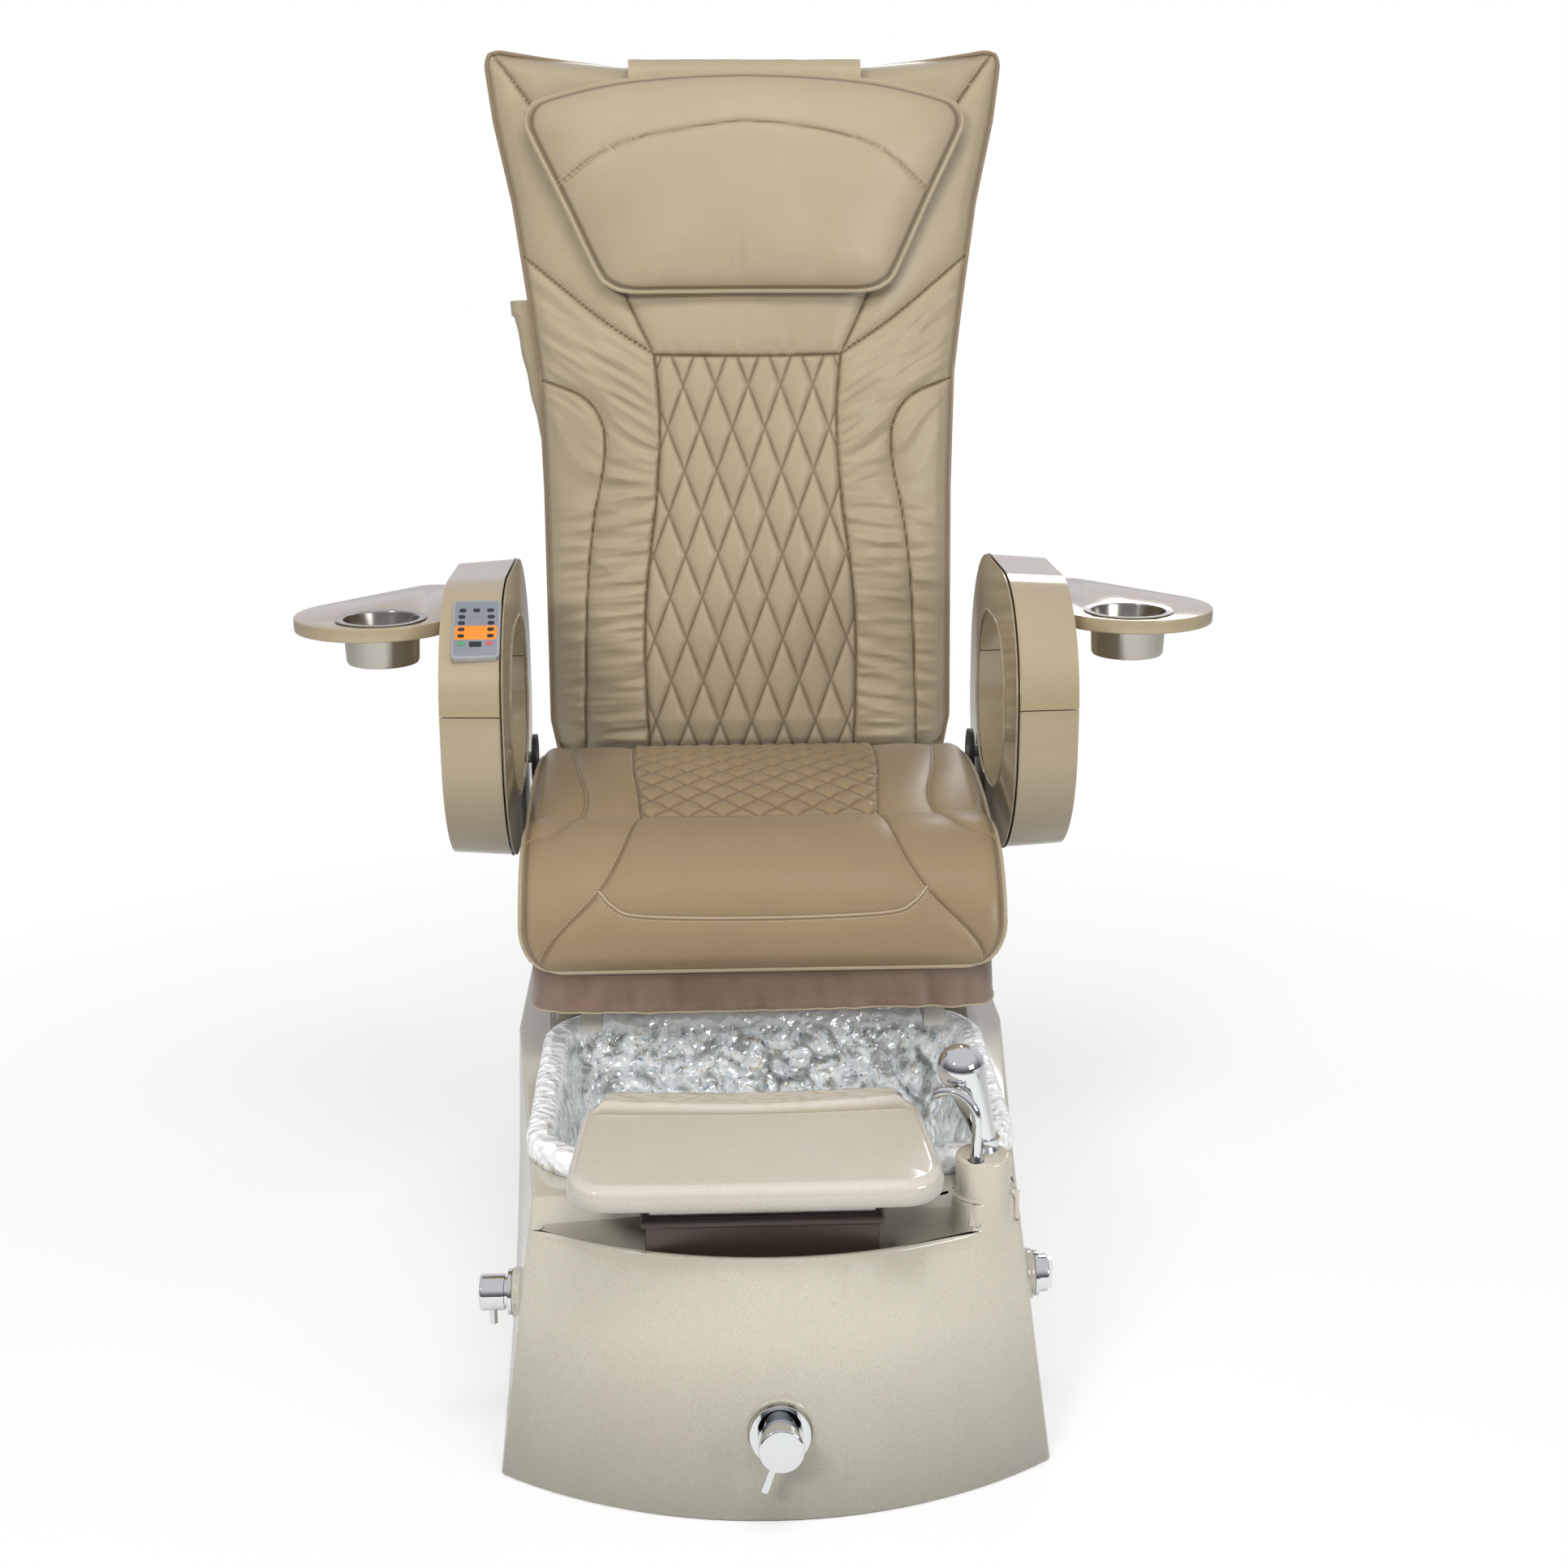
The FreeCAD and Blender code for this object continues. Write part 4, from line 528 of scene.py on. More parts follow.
def stitch_tree():
    """Geometry Nodes: short rounded stitches along the piece's edges."""
    tree = bpy.data.node_groups.new("stitch_row", "GeometryNodeTree")
    ask = tree.interface.new_socket
    ask("Geometry", in_out="INPUT", socket_type="NodeSocketGeometry")
    for label in ("Pitch", "Stitch length", "Thread"):
        ask(label, in_out="INPUT", socket_type="NodeSocketFloat")
    ask("Material", in_out="INPUT", socket_type="NodeSocketMaterial")
    ask("Geometry", in_out="OUTPUT", socket_type="NodeSocketGeometry")
    given = add(tree, "NodeGroupInput").outputs
    line = add(tree, "GeometryNodeMeshToCurve", {"Mesh": given["Geometry"]})
    spaced = add(tree, "GeometryNodeResampleCurve", {"Curve": line.outputs[0], "Length": given["Pitch"]},
                 mode="LENGTH")
    ball = add(tree, "GeometryNodeMeshUVSphere", {"Segments": 6, "Rings": 4, "Radius": 0.5})
    turn = add(tree, "FunctionNodeAlignRotationToVector",
               {"Vector": add(tree, "GeometryNodeInputTangent").outputs[0]}, axis="Z")
    size = add(tree, "ShaderNodeCombineXYZ", {"X": given["Thread"], "Y": given["Thread"],
                                              "Z": given["Stitch length"]})
    placed = add(tree, "GeometryNodeInstanceOnPoints", {
        "Points": spaced.outputs[0], "Instance": ball.outputs["Mesh"], "Rotation": turn.outputs[0],
        "Scale": size.outputs[0]})
    real = add(tree, "GeometryNodeRealizeInstances", {"Geometry": placed.outputs[0]})
    coated = add(tree, "GeometryNodeSetMaterial", {"Geometry": real.outputs[0],
                                                   "Material": given["Material"]})
    add(tree, "NodeGroupOutput", {"Geometry": coated.outputs[0]})
    return tree


def stitches(name, lines, body, pitch):
    """Rows of thread along lines given in millimetres."""
    points = np.vstack(lines) * 0.001
    edges = []
    start = 0
    for line in lines:
        edges += [(start + i, start + i + 1) for i in range(len(line) - 1)]
        start += len(line)
    mesh = bpy.data.meshes.new(name)
    mesh.from_pydata(points.tolist(), edges, [])
    piece = bpy.data.objects.new(name, mesh)
    bpy.context.scene.collection.objects.link(piece)
    tree = bpy.data.node_groups.get("stitch_row") or stitch_tree()
    sewn = piece.modifiers.new("stitches", "NODES")
    sewn.node_group = tree
    values = {"Pitch": pitch, "Stitch length": pitch * 0.72, "Thread": 0.0009,
              "Material": finishes["thread"]}
    for item in tree.interface.items_tree:
        if item.in_out == "INPUT" and item.name in values:
            sewn[item.identifier] = values[item.name]
    return dress(baked(piece), "thread", body, None)


# Back cushion

def back_half(s):
    return np.interp(s, *zip(*BACK_HALF))


def top_edge(x):
    return TOP_LOW + TOP_DIP * (x / TIP_HALF) ** 2


def back_seams():
    seams = [through(QUILT_TOP)]
    for line in (QUILT_EDGE, BOLSTER_SEAM, WING_SEAM, NECK_SEAM, CORNER_SEAM):
        seams += both(line)
    return seams


def back_front(x, s, sizes):
    """Depth w of the cushion's face at each (x, s), and how dark its seams make it."""
    puff = sizes.puff * 1000
    half = back_half(s)
    crown = np.interp(s, *zip(*BACK_CROWN))
    across = np.clip(np.abs(x) / half, 0, 1)
    face = BACK_EDGE + (crown - BACK_EDGE) * (1 - across ** 2.3) ** 0.72
    near = seam_distance(np.column_stack([x, s]), back_seams())
    side = np.abs(x)
    quilt_half = np.interp(s, *zip(*[(y, x) for x, y in QUILT_EDGE]))
    quilted = (side < quilt_half) & (s < 625)
    quilt, quilt_seam_shade = quilting(x, s, DIAMOND_HALF, DIAMOND_RISE, DIAMOND_START, 7.2, 5.0)
    quilt = quilt * np.clip(near / 8, 0, 1) ** 0.5
    plain = puff * (1 - np.exp(-(near / 12) ** 1.1))
    # Gathered folds beside the quilting, level below and rising outwards higher up
    outward = side - quilt_half
    tilt = -0.1 + 0.75 * step_up(s, 400, 570)
    track = s - tilt * outward
    lengthwise = side / 70 + np.sign(x) * 7.3
    broad = ripple(lengthwise, track / 13, 3.1)
    fine = ripple(lengthwise * 1.6, track / 6.5, 8.2)
    fold = broad + 0.4 * fine + 0.5 * (1 - 3.2 * np.abs(ripple(lengthwise * 0.8, track / 17, 12.6)))
    gathered = np.exp(-np.clip(outward, 0, None) / 80) * (side > quilt_half)
    gathered = gathered + 0.5 * step_up(outward, 15, 60)
    below_wing = 1 - step_up(s - 627 - 0.776 * (side - 126), -34, -4)
    soft = ripple(x / 90, s / 120, 5.5) * 2.2 + ripple(x / 34, s / 60, 2.2) * 0.9 * (1 - below_wing)
    plain = plain + sizes.fold * 1000 * fold * gathered * below_wing * np.clip(near / 6, 0.2, 1) + soft
    pleat = ripple(x / 10, s / 90, 4.4) * 2.6 * np.exp(-np.abs(s - 630) / 24) * (s > 626) * (side < 122)
    plain = plain + pleat
    height = np.where(quilted, quilt, plain)
    width = sizes.seam_width * 1000
    crease = sizes.seam_depth * 1000 * np.exp(-(near / width) ** 2)
    rim = np.minimum((half - side), np.minimum(top_edge(x) - s, s - BACK_LOW + 14))
    height = height * np.clip(rim / 20, 0, 1) ** 0.7
    roll = 20 * (1 - np.clip((top_edge(x) - s) / 30, 0, 1)) ** 2.4
    foot = 34 * (1 - np.clip((s - BACK_LOW) / 30, 0, 1)) ** 2
    # Painted shade: darker in the seam creases and along the quilting seams, and in a band just inside the
    # rim by the welt.
    painted_shade = np.maximum(np.exp(-(near / 1.9) ** 2), quilt_seam_shade * quilted * 0.85)
    painted_shade = np.maximum(painted_shade, 0.55 * np.exp(-((rim - 4) / 3.0) ** 2)) * 0.9
    return np.minimum(face - height + crease + roll + foot, BACK_EDGE), painted_shade


def rounded_corner(x, s, half, high, radius):
    """Draws the square upper corners of a grid in to an arc."""
    in_x = np.clip(1 - (half - np.abs(x)) / radius, 0, 1)
    in_s = np.clip(1 - (high - s) / radius, 0, 1)
    far = np.maximum(np.hypot(in_x, in_s), 1e-9)
    factor = np.where((in_x > 0) & (in_s > 0), np.maximum(in_x, in_s) / far, 1.0)
    new_x = np.where(in_x > 0, half - radius * (1 - in_x * factor), np.abs(x))
    new_s = np.where(in_s > 0, high - radius * (1 - in_s * factor), s)
    return np.sign(x) * new_x, new_s


def back_grid(rows, columns):
    """Flat coordinates (x, s) that fill the outline of the back, closer together on the quilting."""
    a = np.interp(np.linspace(0, 1, columns), (0, 0.175, 0.825, 1), (-1, -0.54, 0.54, 1))
    b = np.interp(np.linspace(0, 1, rows), (0, 0.7, 1), (0, 0.585, 1))
    across, up = np.meshgrid(a, b)
    s = BACK_LOW + up * (TOP_LOW - BACK_LOW)
    for _ in range(4):
        x = across * back_half(s)
        s = BACK_LOW + up * (top_edge(x) - BACK_LOW)
    x = across * back_half(s)
    x, s = rounded_corner(x, s, back_half(s), top_edge(x), BACK_CORNER)
    return x.ravel(), s.ravel()


def outline_indices(rows, columns):
    """The rim of a grid, in order, without repeats."""
    return ([j for j in range(columns)] + [i * columns + columns - 1 for i in range(1, rows)]
            + [(rows - 1) * columns + j for j in range(columns - 2, -1, -1)]
            + [i * columns for i in range(rows - 2, 0, -1)])


def two_sided(rows, columns):
    """Faces of two layers of a grid, one after the other, that are joined round their rim."""
    second = rows * columns
    rim = outline_indices(rows, columns)
    count = len(rim)
    faces = grid(rows, columns) + [tuple(reversed(face)) for face in grid(rows, columns, start=second)]
    for k in range(count):
        following = rim[(k + 1) % count]
        faces.append((rim[k], following, second + following, second + rim[k]))
    return faces


def back_cushion(sizes):
    rows, columns = 331, 261
    x, s = back_grid(rows, columns)
    w, painted_shade = back_front(x, s, sizes)
    points = np.column_stack([x, w, s])
    faces = grid(rows, columns)
    rim = outline_indices(rows, columns)
    inset = points[rim].copy()
    inset[:, 1] = BACK_REAR
    points = np.vstack([points, inset])
    first = rows * columns
    count = len(rim)
    for k in range(count):
        following = (k + 1) % count
        faces.append((rim[following], rim[k], first + k, first + following))
    faces.append(tuple(range(first, first + count)))
    piece = build("back_upholstery", back_place(points), faces, "leather_back", "back",
                  seam=painted_shade)
    weld(piece)
    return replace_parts(piece, "back_cushion")


def on_back(line, sizes, lift=0.0):
    """A flat line (x, s) laid on the cushion's face."""
    line = np.asarray(line, float)
    w = back_front(line[:, 0], line[:, 1], sizes)[0] - lift
    return back_place(np.column_stack([line[:, 0], w, line[:, 1]]))


def beside(line, gap):
    """The line moved sideways by a gap."""
    line = np.asarray(line, float)
    run = np.gradient(line, axis=0)
    run = run / np.maximum(np.hypot(*run.T), 1e-9)[:, None]
    return line + gap * np.column_stack([-run[:, 1], run[:, 0]])


def back_trim(sizes):
    """Welt round the face, and rows of thread beside the sewn seams."""
    s = np.linspace(BACK_LOW, TOP_LOW + TOP_DIP, 130)
    x = np.linspace(TIP_HALF, 0, 50)
    right = np.vstack([np.column_stack([back_half(s), s]), np.column_stack([x, top_edge(x)])[1:]])
    x, s = rounded_corner(right[:, 0], right[:, 1], back_half(right[:, 1]), top_edge(right[:, 0]),
                          BACK_CORNER)
    right = np.column_stack([x, np.full_like(x, BACK_EDGE - 1.5), s])
    line = np.vstack([right, (right * np.array([-1, 1, 1]))[-2::-1]])
    tube("back_welt", back_place(line), sizes.welt * 1000, "welt", "back")
    rows = []
    for seam in (BOLSTER_SEAM, WING_SEAM):
        for line in both(seam):
            rows += [beside(line, 3.2), beside(line, -3.2)]
    for seam in (NECK_SEAM, CORNER_SEAM):
        for line in both(seam):
            rows.append(beside(line, 3.2))
    rows = [on_back(row, sizes, 0.2) for row in rows]
    stitches("back_stitching", rows, "back", sizes.stitch_pitch)


# Head pillow

PILLOW_REAR = -84.0
PILLOW_FRONT = -128.0
PILLOW_LINE = ((0, 707), (110, 707), (158, 708), (184, 717), (200, 737), (240, 822), (281, 906),
               (289, 928), (284, 946), (262, 958), (180, 975), (90, 983), (0, 986))
PILLOW_SEAM = ((-248, 846), (-195, 880), (-135, 901), (-26, 918), (20, 919), (103, 909), (176, 887),
               (240, 840))
PILLOW_MIDDLE = 848.0
PILLOW_HALF = 288.0
PILLOW_TALL = 138.0
PILLOW_CURVE = 24.0


def pillow_loop():
    right = through(PILLOW_LINE, 5.0)
    return np.vstack([right, (right * np.array([-1, 1]))[::-1][1:-1]])


def pillow_bend(x):
    """How far the pillow's ends stand back from its middle."""
    return PILLOW_CURVE * (x / PILLOW_HALF) ** 2


def pillow_face(x, s, share):
    """Depth of the pillow's face; share is 1 on its rim and 0 at its middle."""
    rise = (PILLOW_REAR - 6 - PILLOW_FRONT) * (1 - share ** 3.2) ** 0.55
    near = seam_distance(np.column_stack([x, s]), [through(PILLOW_SEAM)])
    crease = 2.4 * np.exp(-(near / 3.0) ** 2)
    pucker = np.hypot((x + 11) / 5, (s - 752) / 30)
    dent = 3.0 * np.exp(-pucker ** 2)
    creep = ripple(x / 60, s / 45, 1.7) * 1.4 + ripple(x / 24, s / 50, 6.1) * 0.5
    below = 2.2 * np.exp(-((s - 735) / 16) ** 2) * ripple(x / 16, s / 80, 9.4)
    # Painted shade: darker along the sewn seam, and in a ring just inside the welt.
    painted_shade = np.maximum(0.7 * np.exp(-(near / 1.8) ** 2), 0.8 * np.exp(-((share - 0.972) / 0.012) ** 2))
    w = PILLOW_REAR - 6 - rise + crease + dent + (creep + below) * (1 - share ** 6) + pillow_bend(x)
    return w, painted_shade


def head_pillow(sizes):
    loop = pillow_loop()
    middle = np.array([0, PILLOW_MIDDLE])
    shares = 1 - np.linspace(0, 1, 64)[:-1] ** 1.6
    points = []
    painted_shades = []
    for share in shares:
        ring = middle + (loop - middle) * share
        w, painted_shade = pillow_face(ring[:, 0], ring[:, 1], np.full(len(ring), share))
        points.append(np.column_stack([ring[:, 0], w, ring[:, 1]]))
        painted_shades.append(painted_shade)
    for share in (0.97, 0.6, 0.3):
        ring = middle + (loop - middle) * share
        w = np.full(len(ring), PILLOW_REAR) + pillow_bend(ring[:, 0])
        points.insert(0, np.column_stack([ring[:, 0], w, ring[:, 1]]))
        painted_shades.insert(0, np.zeros(len(ring)))
    count = len(loop)
    faces = grid(len(points), count, loop_columns=True)
    faces.append(tuple(range(count)))
    last = (len(points) - 1) * count
    faces.append(tuple(range(last, last + count)))
    piece = build("head_pillow", back_place(np.vstack(points)), faces, "leather_back", "headrest",
                  seam=np.concatenate(painted_shades))
    weld(piece)
    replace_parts(piece, "headrest_pillow")
    rim = np.column_stack([loop[:, 0], PILLOW_REAR - 8.5 + pillow_bend(loop[:, 0]), loop[:, 1]])
    tube("pillow_welt", back_place(rim), sizes.welt * 1000 + 0.8, "leather_back", "headrest",
         True)
    rows = []
    for gap in (-2.6, 2.6):
        line = beside(through(PILLOW_SEAM), gap)
        share = np.hypot(line[:, 0] / PILLOW_HALF, (line[:, 1] - PILLOW_MIDDLE) / PILLOW_TALL)
        w = pillow_face(line[:, 0], line[:, 1], np.clip(share, 0, 1))[0] - 0.2
        rows.append(back_place(np.column_stack([line[:, 0], w, line[:, 1]])))
    stitches("pillow_stitching", rows, "headrest", sizes.stitch_pitch)


# Side view of the strap as (w, s), and its half width
STRAP_LINE = ((-80, 948), (-80, 985), (-77, 1000), (-64, 1009), (-20, 1012.5), (30, 1014), (48, 1013),
              (53.5, 1000), (53.5, 960), (53.5, 921))
STRAP_HALF = 153.0
STRAP_THICK = 2.2
STRAP_COLUMNS = 60


def head_strap():
    """Band of leatherette from the pillow over the top of the back and down behind it."""
    line = through(STRAP_LINE, 4.0)
    run = np.gradient(line, axis=0)
    run = run / np.hypot(*run.T)[:, None]
    columns = STRAP_COLUMNS
    across = np.linspace(-STRAP_HALF, STRAP_HALF, columns)
    layers = []
    for lift in (0.0, STRAP_THICK):
        for w, s in line + lift * np.column_stack([-run[:, 1], run[:, 0]]):
            wave = 0.6 * ripple(across / 30, np.full(columns, s / 40), 2.0)
            layers.append(np.column_stack([across, np.full(columns, w), s + wave]))
    faces = two_sided(len(line), columns)
    piece = build("head_strap", back_place(np.vstack(layers)), faces, "leather_back", "back")
    weld(piece)
    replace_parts(piece, "headrest_strap")


# Side pocket

POUCH_LOW = 508.0
POUCH_HIGH = 707.0
POUCH_DEEP = 46.0
POUCH_WALL = 2.2


def pocket_ring(s, bulge, wall):
    """Outline of the pouch at the height s, drawn in by its wall."""
    half = 272 + 17 * (s - 500) / 215
    loop = []
    for w in np.linspace(wall, POUCH_DEEP - wall, 14):
        near = -half + 12 * (w + 4) / 54 - 0.4
        arch = math.sin(math.pi * (w - wall) / (POUCH_DEEP - 2 * wall)) ** 0.35
        loop.append((near - wall, near - wall - max(bulge - 2 * wall, 1) * arch, w))
    outer = [(b, w) for a, b, w in loop]
    inner = [(a, w) for a, b, w in reversed(loop)]
    return [(x, w, s) for x, w in outer + inner]


def side_pocket():
    """Leatherette pouch with a folded hem, open at its top."""
    levels = np.linspace(POUCH_LOW, POUCH_HIGH, 40)
    bulge = 11 + 27 * ((levels - POUCH_LOW) / (POUCH_HIGH - POUCH_LOW)) ** 0.8
    outside = [pocket_ring(s, b + 0.8 * math.sin(s / 9), 0) for s, b in zip(levels, bulge)]
    hem = [pocket_ring(s, 39.6, 0) for s in (688, 690, 706, 707)]
    outside = outside[:-4] + hem
    inside = [pocket_ring(s, b, POUCH_WALL) for s, b in zip(levels[::-1], bulge[::-1]) if s > 520]
    rings = outside + inside
    count = len(rings[0])
    faces = grid(len(rings), count, loop_columns=True)
    faces.append(tuple(range(count)))
    last = (len(rings) - 1) * count
    faces.append(tuple(range(last, last + count)))
    piece = build("side_pouch", back_place(np.vstack(rings)), faces, "leather_back", "back")
    weld(piece)
    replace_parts(piece, "side_pocket")


# Seat

def circle_through(a, b, c, count):
    """Points on the arc from a through b to c."""
    (ax, ay), (bx, by), (cx, cy) = a, b, c
    d = 2 * (ax * (by - cy) + bx * (cy - ay) + cx * (ay - by))
    sa, sb, sc = ax * ax + ay * ay, bx * bx + by * by, cx * cx + cy * cy
    ox = (sa * (by - cy) + sb * (cy - ay) + sc * (ay - by)) / d
    oy = (sa * (cx - bx) + sb * (ax - cx) + sc * (bx - ax)) / d
    start, mid, end = (math.atan2(y - oy, x - ox) for x, y in (a, b, c))
    turn = (end - start) % (2 * math.pi)
    if (mid - start) % (2 * math.pi) > turn:
        turn -= 2 * math.pi
    angles = start + turn * np.linspace(0, 1, count)
    radius = math.hypot(ax - ox, ay - oy)
    return np.column_stack([ox + radius * np.cos(angles), oy + radius * np.sin(angles)])


def seat_profile():
    """Side view of the cushion from its rear top edge to its base, and the length so far."""
    top = circle_through((352, 585), (198.5, 599), (45, 577), 160)
    front = circle_through((45, 577), (-84, 535), (-116, 458), 140)
    chin = np.array([(-116, 450), (-114, 441), (-110, 435), (-104, SEAT_LOW)])
    line = np.vstack([top, front[1:], chin])
    along = np.concatenate([[0], np.cumsum(np.hypot(*np.diff(line, axis=0).T))])
    return line, along


def seat_seams():
    seams = [through(SEAT_QUILT_FRONT), through(SEAT_CROSS_SEAM)]
    for line in (SEAT_QUILT_EDGE, SEAT_FRONT_SEAM, SEAT_SIDE_SEAM):
        seams += both(line)
    return seams


def seat_height(x, a, sizes):
    """Height of the padding over the plain profile, and its seam mark, at x and distance a."""
    near = seam_distance(np.column_stack([x, a]), seat_seams())
    side = np.abs(x)
    quilt_half = np.interp(a, *zip(*[(y, x) for x, y in SEAT_QUILT_EDGE]))
    quilted = (side < quilt_half) & (a < 312)
    quilt, quilt_seam_shade = quilting(x, a, SEAT_DIAMOND, SEAT_DIAMOND, 312.0, 6.0, 5.0)
    quilt = quilt * np.clip(near / 7, 0, 1) ** 0.5
    plain = 3.4 * (1 - np.exp(-(near / 14) ** 1.1)) + ripple(x / 110, a / 90, 7.7) * 1.2
    plain += ripple(x / 30, a / 26, 3.3) * 0.3
    crease = 1.6 * np.exp(-(near / (sizes.seam_width * 800)) ** 2)
    ends = np.clip((560 - a) / 20, 0, 1) * np.clip(a / 16 + 0.4, 0, 1)
    # Painted shade: darker in the seam creases and along the quilting seams, and in a line just inside the
    # side welts.
    painted_shade = np.maximum(0.75 * np.exp(-(near / 1.9) ** 2), quilt_seam_shade * quilted * 0.7)
    painted_shade = np.maximum(painted_shade, 0.7 * np.exp(-((side - SEAT_HALF + 9) / 2.2) ** 2))
    return (np.where(quilted, quilt, plain) - crease) * ends - 1.2, painted_shade


def seat_point(x, a, sizes):
    """Points of the seat's face at x and a; its sides roll down and its lower front corners round."""
    line, along = seat_profile()
    y = np.interp(a, along, line[:, 0])
    z = np.interp(a, along, line[:, 1])
    step = 1.0
    run_y = np.interp(a + step, along, line[:, 0]) - np.interp(a - step, along, line[:, 0])
    run_z = np.interp(a + step, along, line[:, 1]) - np.interp(a - step, along, line[:, 1])
    size = np.maximum(np.hypot(run_y, run_z), 1e-9)
    out_y, out_z = run_z / size, -run_y / size
    low = np.clip((a - 503) / 60, 0, 1)
    narrow = 1 - 0.16 * (1 - np.sqrt(1 - 0.999 * low ** 2))
    past = np.clip((np.abs(x) - (SEAT_HALF - SEAT_ROLL)) / SEAT_ROLL, 0, 1)
    sink = SEAT_ROLL * (1 - np.sqrt(np.clip(1 - past ** 2, 0, 1)))
    height, painted_shade = seat_height(x, a, sizes)
    lift = height * (1 - past ** 4) - sink * np.clip((572 - a) / 40, 0.15, 1)
    points = np.column_stack([x * narrow, y + out_y * lift, np.maximum(z + out_z * lift, SEAT_LOW)])
    return points, painted_shade


def seat_cushion(sizes):
    along = seat_profile()[1]
    flat = SEAT_HALF - SEAT_ROLL
    inner = np.linspace(-flat, flat, 250)
    turn = np.linspace(0, 1, 11)[1:]
    outer = flat + SEAT_ROLL * np.sin(turn * math.pi / 2)
    xs = np.concatenate([-outer[::-1], inner, outer])
    stations = np.interp(np.linspace(0, 1, 300), (0, 0.62, 1), (0, 315, along[-1]))
    x, a = (values.ravel() for values in np.meshgrid(xs, stations))
    points, painted_shade = seat_point(x, a, sizes)
    columns = len(xs)
    rows = len(stations)
    heel = points[:columns].copy()
    heel[:, 2] = SEAT_LOW
    heel[:, 1] = 351.0
    points = np.vstack([points, heel])
    rows += 1
    faces = grid(rows - 1, columns)
    # The heel row closes the rear, and the bottom joins it to the chin
    last = (rows - 1) * columns
    for j in range(columns - 1):
        faces.append((last + j, last + j + 1, j + 1, j))
        chin = (rows - 2) * columns
        faces.append((chin + j, chin + j + 1, last + j + 1, last + j))
    faces.append(tuple([last] + [i * columns for i in range(rows - 1)]))
    faces.append(tuple([last + columns - 1] + [i * columns + columns - 1 for i in range(rows - 1)]))
    piece = build("seat_upholstery", points, faces, "leather_seat", "seat", seam=painted_shade)
    weld(piece)
    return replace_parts(piece, "seat_cushion")


def on_seat(line, sizes, lift=0.0):
    line = np.asarray(line, float)
    points = seat_point(line[:, 0], line[:, 1], sizes)[0]
    points[:, 2] += lift * 0.7
    points[:, 1] -= lift * 0.7
    return points


def seat_trim(sizes):
    """Welt round the boxing, raised piping on the cross and side seams, and topstitching."""
    a = np.linspace(4, 558, 150)
    right = seat_point(np.full_like(a, SEAT_HALF - 2.2), a, sizes)[0]
    x = np.linspace(SEAT_HALF - 12, -SEAT_HALF + 12, 90)
    front = seat_point(x, np.full_like(x, 561.0), sizes)[0]
    left = (right * np.array([-1, 1, 1]))[::-1]
    tube("seat_welt", np.vstack([right, front, left]), sizes.welt * 1000 + 0.4, "leather_back", "seat")
    tube("seat_cross_piping", on_seat(through(SEAT_CROSS_SEAM), sizes, 1.2), 1.8, "leather_back", "seat")
    for name, seam in zip(("right", "left"), both(SEAT_SIDE_SEAM)):
        tube("seat_side_piping_" + name, on_seat(seam, sizes, 1.0), 1.8, "leather_seat", "seat")
    rows = []
    for seam in both(SEAT_FRONT_SEAM) + both(SEAT_QUILT_EDGE):
        rows.append(beside(seam, 2.8))
    rows.append(beside(through(SEAT_CROSS_SEAM), 4.2))
    rows = [on_seat(row, sizes, 0.3) for row in rows]
    stitches("seat_stitching", rows, "seat", sizes.stitch_pitch)


# The valance: its upper edge, its drop, how far it is tucked in, and its thickness
SKIRT_TOP = 432.4
SKIRT_DROP = 47.5
SKIRT_TUCK = 32.0
SKIRT_WALL = 1.6


def skirt_path():
    """Plan of the valance from the rear of one side round the front to the other."""
    half, front, rear, r = 270.5, -104.5, 346.0, 42.0
    line = [(half, y) for y in np.linspace(rear, front + r, 90)]
    for turn in np.linspace(0, math.pi / 2, 16)[1:]:
        line.append((half - r + r * math.cos(turn), front + r - r * math.sin(turn)))
    line += [(x, front) for x in np.linspace(half - r, -half + r, 130)[1:]]
    for turn in np.linspace(math.pi / 2, math.pi, 16)[1:]:
        line.append((-half + r + r * math.cos(turn), front + r - r * math.sin(turn)))
    line += [(-half, y) for y in np.linspace(front + r, rear, 70)[1:]]
    return np.array(line)


def seat_skirt():
    """Two-sided valance with small gathers and a hem, tucked in below the cushion."""
    path = skirt_path()
    run = np.gradient(path, axis=0)
    run = run / np.hypot(*run.T)[:, None]
    out = np.column_stack([-run[:, 1], run[:, 0]])
    along = np.concatenate([[0], np.cumsum(np.hypot(*np.diff(path, axis=0).T))])
    levels = np.linspace(0, 1, 15)
    layers = []
    painted_shades = []
    for wall in (0.0, SKIRT_WALL):
        layers.append(np.column_stack([path - out * SKIRT_TUCK,
                                       np.full(len(path), SKIRT_TOP + 0.2 + wall * 0.3)]))
        # Painted shade on the band tucked in under the cushion.
        painted_shades.append(np.full(len(path), 0.5))
        for drop in levels:
            pucker = (ripple(along / 21, np.full_like(along, drop * 0.9), 4.4) * 4.6
                      + ripple(along / 9, np.full_like(along, drop), 9.1) * 1.4) * drop ** 0.6
            hem = 0.8 if drop > 0.84 else 0.0
            away = 1.5 * drop + pucker + (wall + hem if wall else 0.0)
            z = SKIRT_TOP - SKIRT_DROP * drop + 1.2 * np.sin(along / 70) * drop
            layers.append(np.column_stack([path + out * away[:, None], z]))
            # Painted shade: darker towards the top, under the cushion, and in the valleys of the gathers.
            painted_shades.append(0.45 * (1 - drop) ** 2 + 0.4 * np.clip(-pucker / 2.5, 0, 1))
    faces = two_sided(len(levels) + 1, len(path))
    piece = build("seat_valance", np.vstack(layers), faces, "valance", "seat",
                  seam=np.concatenate(painted_shades))
    weld(piece)
    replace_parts(piece, "seat_skirt")
    tube("valance_hem", layers[-1], 1.0, "leather_back", "seat")


# Armrests and trays

